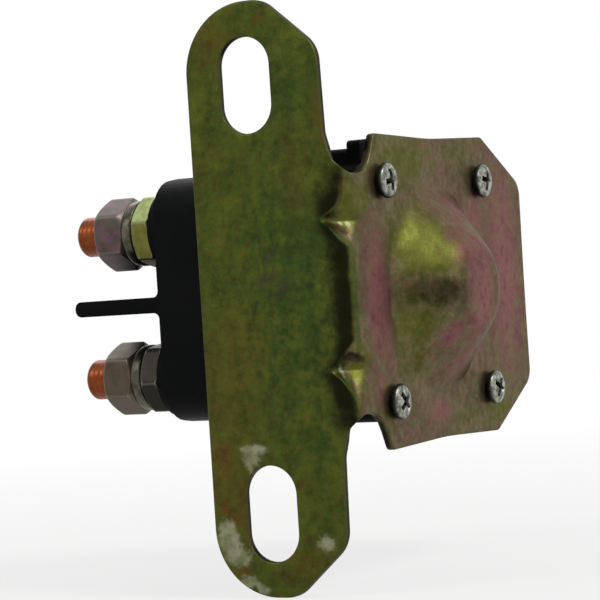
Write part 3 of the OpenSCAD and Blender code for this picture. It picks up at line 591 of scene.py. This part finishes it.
def turned_mesh(name, profile, count):
    """A solid turned about X from (radius, height) points that start and end on the axis."""
    points, faces, rows = [], [], []
    for r, h in profile:
        around = count if r else 1
        rows.append([len(points) + k % around for k in range(count)])
        points += [(h, r * math.cos(2 * math.pi * k / count), r * math.sin(2 * math.pi * k / count))
                   for k in range(around)]
    for a, b in zip(rows, rows[1:]):
        for k in range(count):
            n = (k + 1) % count
            faces.append(list(dict.fromkeys((a[k], a[n], b[n], b[k]))))
    return new_mesh(name, points, faces)


def evaluated(o):
    """The plain mesh that an object's modifiers give. The object itself is removed."""
    made = bpy.data.meshes.new_from_object(o.evaluated_get(bpy.context.evaluated_depsgraph_get()))
    remove(o)
    return made


def new_tree(name, **inputs):
    """A geometry tree with these inputs by kind and a Finish, and the sockets that give them."""
    tree = bpy.data.node_groups.new(name, "GeometryNodeTree")
    for kind, names in {**inputs, "Material": ["Finish"]}.items():
        for socket in names:
            tree.interface.new_socket(socket, in_out="INPUT", socket_type="NodeSocket" + kind)
    tree.interface.new_socket("Geometry", in_out="OUTPUT", socket_type="NodeSocketGeometry")
    return tree, add(tree, "NodeGroupInput")


def end_tree(tree, geometry, finish):
    """Ends a geometry tree with real geometry in its finish."""
    real = add(tree, "GeometryNodeRealizeInstances", {"Geometry": geometry})[0]
    done = add(tree, "GeometryNodeSetMaterial", {"Geometry": real, "Material": finish})[0]
    add(tree, "NodeGroupOutput", {"Geometry": done})
    return tree


def copies_on_points():
    """Geometry nodes: the piece on every point of the mesh, turned about X by the point's turn."""
    tree, given = new_tree("copies_on_points", Geometry=["Geometry"], Object=["Piece"])
    turn = add(tree, "GeometryNodeInputNamedAttribute", {"Name": "turn"}, data_type="FLOAT")["Attribute"]
    about = add(tree, "ShaderNodeCombineXYZ", {"X": turn})[0]
    piece = add(tree, "GeometryNodeObjectInfo", {"Object": given["Piece"]})["Geometry"]
    copies = add(tree, "GeometryNodeInstanceOnPoints", {
        "Points": given["Geometry"], "Instance": piece, "Rotation": about})[0]
    return end_tree(tree, copies, given["Finish"])


def grown(tree, inputs, host=None):
    """The plain mesh that a geometry tree gives for these named inputs."""
    o = in_scene("host", host or bpy.data.meshes.new("host"))
    step = o.modifiers.new("nodes", "NODES")
    step.node_group = tree
    for socket in tree.interface.items_tree:
        if socket.name in inputs:
            step[socket.identifier] = inputs[socket.name]
    bpy.context.view_layer.update()
    return evaluated(o)


copies = copies_on_points()


def repeated(name, mesh, places, turns, material, sharp=40):
    """One piece set at several places, as one object."""
    host = new_mesh("places", places, [])
    layer = host.attributes.new("turn", "FLOAT", "POINT")
    layer.data.foreach_set("value", [math.radians(t) for t in turns])
    piece = in_scene("piece", mesh)
    made = grown(copies, {"Piece": piece, "Finish": material}, host)
    remove(piece)
    return finish_mesh(name, made, material, sharp)


profile = [(0, screw_head_h)]
profile += [(r, screw_head_h - crown_drop * (r / screw_head_r) ** 2.4) for r in (0.7, 1.3, 1.8, 2.2, 2.5)]
profile += [(screw_head_r - rim_r + rim_r * math.cos(a),
             rim_level + (rim_up if a > 0 else rim_down) * math.sin(a))
            for a in np.radians([70, 50, 30, 10, -10, -40, -70])]
profile += [(2.75, 0.02), (screw_r, 0.02), (screw_r, screw_r - screw_len), (0.8, -screw_len),
            (0, -screw_len)]
screw_mesh = turned_mesh("screw", profile, 48)
turn_out(screw_mesh)
points, faces = [], []
for turn in (0, math.pi / 2):
    spin, start = Matrix.Rotation(turn, 3, "X"), len(points)
    for h, long, wide in ((screw_head_h + 0.3, 1.06, 1.0), (screw_head_h - recess_deep, 0.45, 0.8)):
        y, z = recess_reach * long, recess_w / 2 * wide
        points += [spin @ Vector((h, *corner)) for corner in ((-y, -z), (y, -z), (y, z), (-y, z))]
    faces += [[start + k for k in face] for face in (
        (0, 1, 2, 3), (7, 6, 5, 4), (0, 4, 5, 1), (1, 5, 6, 2), (2, 6, 7, 3), (3, 7, 4, 0))]
cross_mesh = new_mesh("cross_recess", points, faces)
turn_out(cross_mesh)
body, tool = in_scene("body", screw_mesh), in_scene("tool", cross_mesh)
step = body.modifiers.new("cut", "BOOLEAN")
step.operation, step.solver, step.object, step.use_self = "DIFFERENCE", "EXACT", tool, True
screw_mesh = evaluated(body)
remove(tool)


def mottled(name, base, tones, rough, surface):
    """A material with tones laid over its base colour, as rough as its first tone's field says.

    A tone has its field, the values it comes in between, the most it covers and its hue. A field is
    a noise, by its size in mm or three sizes, its detail and its breakup, or else the name of an
    axis, of Pointiness or of an attribute.
    """
    material, tree, place = new_material(name)
    layers = []
    for source, *layer in tones:
        if source in ("X", "Y", "Z"):
            field = add(tree, "ShaderNodeSeparateXYZ", {"Vector": place})[source]
        elif source == "Pointiness":
            field = add(tree, "ShaderNodeNewGeometry")[source]
        elif isinstance(source, str):
            field = add(tree, "ShaderNodeAttribute", attribute_name=source)["Fac"]
        else:
            scale = [1 / (size * mm) for size in np.broadcast_to(source[0], 3)]
            spread = add(tree, "ShaderNodeMapping", {"Vector": place, "Scale": scale})["Vector"]
            field = add(tree, "ShaderNodeTexNoise", {
                "Vector": spread, "Scale": 1, "Detail": source[1], "Roughness": source[2]})["Fac"]
        layers.append((field, *layer))
    film = laid_over(tree, base, layers)
    rough = add(tree, "ShaderNodeMapRange", {
        "Value": layers[0][0], "To Min": rough[0], "To Max": rough[1]})[0]
    shader = add(tree, "ShaderNodeBsdfPrincipled", {"Base Color": film, "Roughness": rough, **surface})[0]
    add(tree, "ShaderNodeOutputMaterial", {"Surface": shader})
    return material


# Clear zinc plate on the screws: bright grey rims and smut on the crown, with painted shade deep in the
# recess and over the lower rim and underside of the head.
bright_zinc = mottled("clear_zinc_plate_on_screws", "#A9ABA0", [
    ((1.1, 3, 0.65), 0.38, 0.62, 0.85, "#4C4D45"),
    # Painted shade: darker downward from the crown, deep in the recess and under the head's rim
    ("X", (plate_x + recess_shade[0]) * mm, (plate_x + recess_shade[1]) * mm, 0.93, "#15160F")],
    (0.25, 0.5), {"Metallic": 0.88})
screws = repeated("base_screw_set", screw_mesh, screw_places, screw_turns, bright_zinc)
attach(screws, "relay")
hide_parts("base_screws")

# Housing.
# One black moulding in glass filled nylon: the body round the magnet, a ledge on top, and the
# terminal block with its barrier between the studs. Its moulded edges are slightly rounded.
moulded_edge, flat_angle, edge_angle = 0.35, 1.5, 38


def softened(node, width):
    """A copy of a CAD node with its triangles merged back to faces and its edges rounded."""
    shell = bmesh.new()
    shell.from_mesh(nodes[node].data)
    bmesh.ops.remove_doubles(shell, verts=shell.verts, dist=1e-6)
    bmesh.ops.dissolve_limit(
        shell, angle_limit=math.radians(flat_angle), verts=shell.verts, edges=shell.edges)
    o = in_scene("rough", bpy.data.meshes.new("rough"))
    shell.to_mesh(o.data)
    shell.free()
    step = o.modifiers.new("edges", "BEVEL")
    step.width, step.segments, step.limit_method = width * mm, 2, "ANGLE"
    step.angle_limit, step.use_clamp_overlap = math.radians(edge_angle), True
    step.miter_outer = "MITER_ARC"
    return evaluated(o)


# Moulded plastic: near black, dull, with a fine spark-eroded grain and a little lint.
black_nylon, tree, place = new_material("black_moulded_nylon")
skin, flow = [
    add(tree, "ShaderNodeTexNoise", {
        "Vector": place, "Scale": 1 / (size * mm), "Detail": 3.0, "Roughness": 0.65})["Fac"]
    for size in (0.5, 14)]
film = laid_over(tree, "#030404", [(flow, 0.3, 0.7, 1.0, "#060807"), (skin, 0.66, 0.8, 0.5, "#141916")])
rough = add(tree, "ShaderNodeMapRange", {"Value": skin, "To Min": 0.42, "To Max": 0.65})[0]
grainy = add(tree, "ShaderNodeBump", {"Strength": 0.25, "Distance": 0.03 * mm, "Height": skin})["Normal"]
surface = add(tree, "ShaderNodeBsdfPrincipled", {
    "Base Color": film, "Specular IOR Level": 0.045, "Roughness": rough, "Normal": grainy})[0]
add(tree, "ShaderNodeOutputMaterial", {"Surface": surface})
housing = finish_mesh("housing_moulding", softened("housing", moulded_edge), black_nylon, 32)
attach(housing, "relay")
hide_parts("housing")

# Terminal studs.
# Two copper bolts, 5/16 inch, their square heads moulded into the block. The thread is rolled and
# stands out only where the nuts leave it bare; the ends are rounded off.
stud_z, stud_r = 14.3, 3.97
stud_places = [(0, axis_y, stud_z), (0, axis_y, -stud_z)]
stud_from, stud_to = -33.0, -60.2
thread_pitch, thread_deep, stud_chamfer = 1.058, 0.05, 1.3
stud_head, stud_head_round = (3, 14, 8), 0.4


def rolled_bolt():
    """Geometry nodes: a rod along Z with a rolled thread and a chamfered upper end."""
    tree, given = new_tree(
        "rolled_bolt", Float=["Radius", "Length", "Pitch", "Thread depth", "Chamfer"],
        Int=["Sides", "Rings"])
    rod = add(tree, "GeometryNodeMeshCylinder", {
        "Vertices": given["Sides"], "Side Segments": given["Rings"], "Radius": given["Radius"],
        "Depth": given["Length"]})["Mesh"]
    at = add(tree, "ShaderNodeSeparateXYZ", {"Vector": add(tree, "GeometryNodeInputPosition")[0]})
    values = {socket.name: socket for socket in (*given, *at)}
    for name, operation, *terms in (
            ("angle", "ARCTAN2", "Y", "X"), ("turns", "DIVIDE", "Z", "Pitch"),
            ("phase", "MULTIPLY", "turns", 2 * math.pi), ("phase", "SUBTRACT", "phase", "angle"),
            ("wave", "COSINE", "phase"), ("groove", "MULTIPLY_ADD", "wave", -0.5, 0.5),
            ("groove", "MULTIPLY", "groove", "Thread depth"), ("half", "MULTIPLY", "Length", 0.5),
            ("left", "SUBTRACT", "half", "Z"), ("left", "DIVIDE", "left", "Chamfer"),
            ("short", "SUBTRACT", 1.0, "left"), ("short", "MAXIMUM", "short", 0.0),
            ("lost", "POWER", "short", 1.8), ("lost", "MULTIPLY", "lost", "Chamfer"),
            ("fade", "DIVIDE", "left", 2.2), ("fade", "MAXIMUM", "fade", 0.0),
            ("fade", "MINIMUM", "fade", 1.0), ("groove", "MULTIPLY", "groove", "fade"),
            ("radius", "SUBTRACT", "Radius", "groove"), ("radius", "SUBTRACT", "radius", "lost"),
            ("x", "COSINE", "angle"), ("x", "MULTIPLY", "x", "radius"),
            ("y", "SINE", "angle"), ("y", "MULTIPLY", "y", "radius")):
        inputs = {k: values.get(term, term) for k, term in enumerate(terms)}
        values[name] = add(tree, "ShaderNodeMath", inputs, operation=operation)[0]
    placed = add(tree, "ShaderNodeCombineXYZ", {"X": values["x"], "Y": values["y"], "Z": at["Z"]})[0]
    shaped = add(tree, "GeometryNodeSetPosition", {"Geometry": rod, "Position": placed})[0]
    return end_tree(tree, shaped, given["Finish"])


# Bare copper: warm orange, dulled brown in patches, burnished where the nuts have run over it.
bare_copper = mottled("drawn_copper_stud", "#6B3216", [
    ((1.6, 3, 0.6), 0.30, 0.70, 0.8, "#86451F"), ((3.2, 3, 0.6), 0.50, 0.75, 0.7, "#4E2C18")],
    (0.28, 0.4), {"Metallic": 0.88})

bolt = grown(rolled_bolt(), {
    "Radius": stud_r * mm, "Length": (stud_from - stud_to) * mm, "Pitch": thread_pitch * mm,
    "Thread depth": thread_deep * mm, "Chamfer": stud_chamfer * mm, "Sides": 64, "Rings": 208,
    "Finish": bare_copper})
stud_middle = Matrix.Translation(Vector(((stud_from + stud_to) / 2, 0, 0)) * mm)
bolt.transform(stud_middle @ Matrix.Rotation(-math.pi / 2, 4, "Y"))
square = bmesh.new()
square.from_mesh(bolt)
head = bmesh.ops.create_cube(square, size=1)["verts"]
head_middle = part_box("terminal_studs")[1].x - stud_head[0] / 2 * mm
for v in head:
    v.co = Vector((head_middle, 0, 0)) + Vector([c * length * mm for c, length in zip(v.co, stud_head)])
bmesh.ops.bevel(square, geom=[e for e in square.edges if e.verts[0] in head and e.verts[1] in head],
                offset=stud_head_round * mm, segments=2, affect="EDGES")
square.to_mesh(bolt)
square.free()
studs = repeated("terminal_stud_pair", bolt, stud_places, [0, 180], bare_copper)
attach(studs, "relay")
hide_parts("terminal_studs")

# Nuts.
# Plated steel hexagon nuts, half an inch across the flats and chamfered on both faces: a jam nut
# seats each stud on its boss, and a terminal nut holds the cable lug.
nut_flat, nut_bore, bore_chamfer = 12.7, 3.72, 0.45
chamfer_start, chamfer_drop = 6.02, math.tan(math.radians(30))
nut_edge, nut_edge_drop, corner_power = 0.14, 0.12, 46
# Where the boss, jam nut, lock washer and terminal nut of a stud end, from the housing outward
boss_x, jam_x, washer_x, nut_x = -40.5, -45.3, -47.4, -54.0


def hexagon_nut(name, near, far):
    """A nut about X from one end to the other; its rings follow the hexagon and its chamfers."""
    around = 120
    points, faces = [], []
    for k in range(around):
        a = 2 * math.pi * k / around
        flats = [nut_flat / 2 / max(math.cos(a - math.radians(30 + 60 * i)), 1e-3) for i in range(6)]
        reach = sum(d ** -corner_power for d in flats) ** (-1 / corner_power)
        over, under = (max(0.0, r - chamfer_start) * chamfer_drop for r in (reach, reach - nut_edge))
        profile = [(nut_bore, bore_chamfer), (nut_bore + bore_chamfer, 0), (chamfer_start, 0),
                   (max(reach - nut_edge, chamfer_start + 0.02), under), (reach, over + nut_edge_drop),
                   (reach, over + 0.5)]
        profile = [(r, near + h) for r, h in profile] + [(r, far - h) for r, h in profile[::-1]]
        points += [(h, r * math.cos(a), r * math.sin(a)) for r, h in profile]
    rings = len(profile)
    for k in range(around):
        a, b = k * rings, (k + 1) % around * rings
        faces += [(a + i, b + i, b + (i + 1) % rings, a + (i + 1) % rings) for i in range(rings)]
    return new_mesh(name, points, faces)


def plated_nut(name, base, pale, painted_top_facet_hue, lower_nut_hue_and_shade, lower_share, tint, tint_share, rough_low):
    """Plated steel: hues that wander, painted light on the facets that face up, and the lower nut's own hue,
    which on the jam nuts is painted shade.
    """
    return mottled(name, base, [
        ((3.5, 3, 0.6), 0.34, 0.66, 1, pale), ("faces_up", 0.45, 0.80, 0.9, painted_top_facet_hue),
        ((1.8, 3, 0.6), 0.40, 0.68, tint_share, tint), ("Z", -3 * mm, -6 * mm, lower_share, lower_nut_hue_and_shade),
        ("Pointiness", 0.52, 0.58, 0.45, "#B3B19C"), ((0.35, 3, 0.6), 0.56, 0.85, 0.3, "#14140E")],
        (rough_low, rough_low + 0.2), {"Metallic": 0.85})


# Jam nuts: fresh yellow-green chromate, with a painted highlight on the facets that face up and painted
# shade, a near black brown, on the lower nut.
jam_plate = plated_nut("yellow_chromate_jam_nut", "#5D5E2A", "#747638", "#B4C684", "#1F1B15", 1.0,
                       "#6E5A2A", 0.4, 0.22)
# Terminal nuts: zinc gone dull and dark, with a purple cast in patches, bright rubbed corners, an olive cast
# on the lower nut and a painted lighter tone on the facets that face up.
worn_plate = plated_nut("worn_zinc_terminal_nut", "#443F37", "#575148", "#4E4A40", "#4E4628", 0.5,
                        "#694456", 0.75, 0.34)
for name, node_name, slot_name, near, far, turns, material in (
        ("jam_nut_pair", "jam_nuts", "jam_nut_zinc", jam_x, boss_x, (-15, 8), jam_plate),
        ("terminal_nut_pair", "terminal_nuts", "outer_nut_zinc", nut_x, washer_x, (30, 27), worn_plate)):
    nuts = repeated(name, hexagon_nut(name, near, far), stud_places, turns, material, 28)
    # Painted light: the facets that face up take the nut material's top facet hue
    layer = nuts.data.attributes.new("faces_up", "FLOAT", "FACE")
    layer.data.foreach_set("value", [face.normal.z for face in nuts.data.polygons])
    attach(nuts, "relay")
    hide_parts(node_name)

# Lock washers.
# A turn of square spring wire between each pair of nuts, squeezed flat, with its cut ends apart.
washer_r, washer_hole, washer_thick, washer_round = 6.5, 4.27, jam_x - washer_x, 0.35
gap_angle = 1.2 / 5.4


def split_ring():
    """Geometry nodes: a bar of rounded rectangular section bent into a ring with a gap."""
    tree, given = new_tree(
        "split_ring", Float=["Mean radius", "Width", "Thickness", "Gap angle", "Edge round"])
    half_gap = add(tree, "ShaderNodeMath", {0: given["Gap angle"], 1: 0.5}, operation="MULTIPLY")[0]
    sweep = add(tree, "ShaderNodeMath", {0: 2 * math.pi, 1: given["Gap angle"]}, operation="SUBTRACT")[0]
    line = add(tree, "GeometryNodeCurveArc", {
        "Resolution": 73, "Radius": given["Mean radius"], "Start Angle": half_gap, "Sweep Angle": sweep},
        mode="RADIUS")[0]
    bar = add(tree, "GeometryNodeCurvePrimitiveQuadrilateral", {
        "Width": given["Width"], "Height": given["Thickness"]})[0]
    soft = add(tree, "GeometryNodeFilletCurve", {
        "Curve": bar, "Count": 3, "Radius": given["Edge round"]}, mode="POLY")[0]
    ring = add(tree, "GeometryNodeCurveToMesh", {"Curve": line, "Profile Curve": soft, "Fill Caps": True})[0]
    return end_tree(tree, ring, given["Finish"])


# Spring steel: grey with a blue-brown temper film and bright rubbed crests.
spring_steel = mottled("oil_tempered_spring_steel", "#35332A", [
    ((3, 3, 0.6), 0.35, 0.65, 1, "#5E5C4E"), ((1.1, 3, 0.6), 0.50, 0.75, 0.6, "#43362A")],
    (0.24, 0.4), {"Metallic": 0.9})

washer_mesh = grown(split_ring(), {
    "Mean radius": (washer_r + washer_hole) / 2 * mm, "Width": (washer_r - washer_hole) * mm,
    "Thickness": washer_thick * mm, "Gap angle": gap_angle, "Edge round": washer_round * mm,
    "Finish": spring_steel})
along_x = Matrix(((0, 0, 1), (1, 0, 0), (0, 1, 0))).to_4x4()
washer_mesh.transform(Matrix.Translation(Vector((jam_x - washer_thick / 2, 0, 0)) * mm) @ along_x)
washers = repeated("lock_washer_pair", washer_mesh, stud_places, [0, 0], spring_steel)
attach(washers, "relay")
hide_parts("lock_washers")

# Rubber parts.
# The gasket between bracket and housing, a seal under each stud's head and the bumper in the nose
# that the plunger rests on, cut or moulded in black nitrile rubber with a faint grey bloom.
black_rubber = mottled("black_nitrile_rubber", "#101110", [
    ((2.5, 3, 0.5), 0.35, 0.7, 1, "#1D1E1B")], (0.6, 0.85), {"Specular IOR Level": 0.2})


def refinish(names, material):
    """Gives carried-over CAD nodes their material."""
    for name in names:
        mesh = nodes[name].data
        mesh.materials.clear()
        mesh.materials.append(material)


refinish(["base_gasket", "stud_seals", "rest_bumper"], black_rubber)

# Coil terminals and leads.
# Two 6.35 mm push-on blades of brass, pierced for the latch of their receptacles, and the enamelled
# ends of the coil wire soldered to them. The tin plate is pale grey, worn to yellow in places.
blade_edge = 0.14
tinned_brass = mottled("tinned_brass_blade", "#8F8C7E", [
    ((2, 3, 0.6), 0.35, 0.65, 1, "#B9B7AC"), ((4, 3, 0.6), 0.58, 0.75, 0.6, "#8C7440")],
    (0.2, 0.45), {"Metallic": 0.9})
blades = finish_mesh("coil_blade_pair", softened("coil_terminals", blade_edge), tinned_brass, 35)
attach(blades, "relay")
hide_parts("coil_terminals")

# Magnet.
# The coil of enamelled wire on its nylon bobbin, round a brass sleeve, inside a steel can with a
# pole plate at one end and a fixed core at the other. The windings show as fine dark and orange rows.
wire_pitch = 0.55
enamelled_wire, tree, place = new_material("enamelled_copper_winding")
rows = add(tree, "ShaderNodeTexWave", {
    "Vector": place, "Scale": 1 / (wire_pitch * mm) / 20, "Distortion": 0.6, "Detail": 1.0},
    wave_type="BANDS", bands_direction="X")["Fac"]
baked = add(tree, "ShaderNodeTexNoise", {"Vector": place, "Scale": 1 / (4 * mm)})["Fac"]
film = laid_over(tree, "#5A2712", [(rows, 0, 1, 1.0, "#A5532B"), (baked, 0.5, 0.8, 0.5, "#3B1A0E")])
turns = add(tree, "ShaderNodeBump", {"Strength": 0.6, "Distance": 0.15 * mm, "Height": rows})["Normal"]
surface = add(tree, "ShaderNodeBsdfPrincipled", {
    "Base Color": film, "Metallic": 0.5, "Coat Weight": 0.6, "Roughness": 0.32, "Normal": turns})[0]
add(tree, "ShaderNodeOutputMaterial", {"Surface": surface})
refinish(["coil_winding", "coil_leads"], enamelled_wire)

# Bright turned steel under a thin oil film: fine rings from the lathe and a few brown stains.
turned_steel = mottled("turned_mild_steel", "#7C7B76", [
    (((1 / 6, 5 / 3, 5 / 3), 2, 0.5), 0.3, 0.7, 1, "#A3A29C"), ((6, 3, 0.5), 0.55, 0.78, 0.6, "#6A5743")],
    (0.2, 0.42), {"Metallic": 0.95})
refinish(["yoke_can", "pole_plate", "fixed_core", "plunger", "push_rod", "spring_seat"], turned_steel)

# Natural nylon: milky, slightly yellow, soft to the light, with faint flow lines.
natural_nylon = mottled("natural_moulded_nylon", "#D2CBB4", [
    ((8, 3, 0.5), 0.3, 0.7, 1, "#E2DDCB")],
    (0.42, 0.42), {"Subsurface Weight": 0.15, "Subsurface Radius": (1.0 * mm, 0.8 * mm, 0.6 * mm)})
refinish(["bobbin", "contact_bush"], natural_nylon)

# Drawn brass tube: straw yellow with long drawing lines.
drawn_brass = mottled("drawn_brass_sleeve", "#9A7B3C", [
    (((7.5, 0.6, 0.6), 2, 0.5), 0.3, 0.7, 1, "#C2A25A")], (0.3, 0.3), {"Metallic": 0.95})
refinish(["guide_sleeve"], drawn_brass)

# Pressed fibre board: brown, matt, with short matted fibres.
fibre_board = mottled("pressed_fibre_board", "#5B3A22", [
    (((0.7, 2, 0.7), 4, 0.7), 0.3, 0.7, 1, "#7B5433")], (0.75, 0.75), {})
refinish(["divider_disc"], fibre_board)

# Springs and clips.
# The return spring lifts the plunger off the core and the contact spring presses the bridge on the
# studs: round wire, wound with their first and last turns closed. Two clips hold them on the rod.
wire_r, closed_turns, points_per_turn = 0.35, 0.5, 32


def wound_spring():
    """Geometry nodes: round wire wound up along Z, with closed turns at both ends."""
    tree, given = new_tree(
        "wound_spring", Float=["Mean radius", "Wire radius", "Wound length", "Turns", "Closed turns"],
        Int=["Points"])
    line = add(tree, "GeometryNodeCurvePrimitiveLine", {"End": (0, 0, 1)})[0]
    line = add(tree, "GeometryNodeResampleCurve", {"Curve": line, "Count": given["Points"]})[0]
    values = {socket.name: socket for socket in (*given, *add(tree, "GeometryNodeSplineParameter"))}
    for name, operation, *terms in (
            ("angle", "MULTIPLY", "Factor", "Turns"), ("angle", "MULTIPLY", "angle", 2 * math.pi),
            ("x", "COSINE", "angle"), ("x", "MULTIPLY", "x", "Mean radius"),
            ("y", "SINE", "angle"), ("y", "MULTIPLY", "y", "Mean radius"),
            ("closed", "DIVIDE", "Closed turns", "Turns"), ("open", "MULTIPLY_ADD", "closed", -2.0, 1.0),
            ("rise", "SUBTRACT", "Factor", "closed"), ("rise", "DIVIDE", "rise", "open"),
            ("rise", "MAXIMUM", "rise", 0.0), ("rise", "MINIMUM", "rise", 1.0),
            ("span", "MULTIPLY_ADD", "Wire radius", -2.0, "Wound length"),
            ("height", "MULTIPLY_ADD", "rise", "span", "Wire radius")):
        inputs = {k: values.get(term, term) for k, term in enumerate(terms)}
        values[name] = add(tree, "ShaderNodeMath", inputs, operation=operation)[0]
    at = add(tree, "ShaderNodeCombineXYZ", {"X": values["x"], "Y": values["y"], "Z": values["height"]})[0]
    helix = add(tree, "GeometryNodeSetPosition", {"Geometry": line, "Position": at})[0]
    wire = add(tree, "GeometryNodeCurvePrimitiveCircle", {
        "Resolution": 12, "Radius": given["Wire radius"]}, mode="RADIUS")[0]
    spring = add(tree, "GeometryNodeCurveToMesh", {
        "Curve": helix, "Profile Curve": wire, "Fill Caps": True})[0]
    return end_tree(tree, spring, given["Finish"])


spring_tree = wound_spring()
towards_studs = Matrix(((0, 0, -1), (1, 0, 0), (0, -1, 0))).to_4x4()
for name, node_name, body, start, end, mean_r, turns, joint, anchor, keep in (
        ("return_spring_wire", "return_spring", "relay", 9.55, -4.85, 3.2, 8,
         "plunger_slide", -4.9, 0.655),
        ("contact_spring_wire", "contact_spring", "plunger_set", -16.95, -22.85, 4.0, 4,
         "contact_slide", -16.9, 0.825)):
    coil = grown(spring_tree, {
        "Mean radius": mean_r * mm, "Wire radius": wire_r * mm,
        "Wound length": (start - end) * mm,
        "Turns": float(turns), "Closed turns": closed_turns, "Points": turns * points_per_turn + 1,
        "Finish": spring_steel})
    coil.transform(Matrix.Translation(Vector((start, axis_y, 0)) * mm) @ towards_studs)
    spring = finish_mesh(name, coil, spring_steel, 45)
    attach(spring, body)
    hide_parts(node_name)
    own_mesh(spring)
refinish(["retaining_clips"], spring_steel)

# Contact bridge.
# A bar of thick copper that closes on both studs' heads, pitted and sooted where it arcs.
bridge_edge, clean_half, burnt_half = 0.2, 10.5, 14.5
arced_copper, tree, place = new_material("arced_contact_copper")
soot, tone = [
    add(tree, "ShaderNodeTexNoise", {
        "Vector": place, "Scale": 1 / (size * mm), "Detail": 4.0, "Roughness": 0.7})["Fac"]
    for size in (1.5, 3.0)]
height = add(tree, "ShaderNodeSeparateXYZ", {"Vector": place})["Z"]
off_middle = add(tree, "ShaderNodeMath", {0: height}, operation="ABSOLUTE")[0]
near_studs = add(tree, "ShaderNodeMapRange", {
    "Value": off_middle, "From Min": clean_half * mm, "From Max": burnt_half * mm})[0]
burnt = add(tree, "ShaderNodeMath", {0: near_studs, 1: soot}, operation="MULTIPLY")[0]
film = laid_over(tree, "#A5602F", [(tone, 0.35, 0.65, 1.0, "#B8733F"), (burnt, 0.3, 0.6, 1.0, "#1D1613")])
rough = add(tree, "ShaderNodeMapRange", {"Value": burnt, "From Max": 0.6, "To Min": 0.3, "To Max": 0.7})[0]
surface = add(tree, "ShaderNodeBsdfPrincipled", {"Base Color": film, "Metallic": 0.9, "Roughness": rough})[0]
add(tree, "ShaderNodeOutputMaterial", {"Surface": surface})
bridge = finish_mesh("contact_bridge_bar", softened("contact_bridge", bridge_edge), arced_copper, 35)
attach(bridge, "contact_set")
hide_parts("contact_bridge")
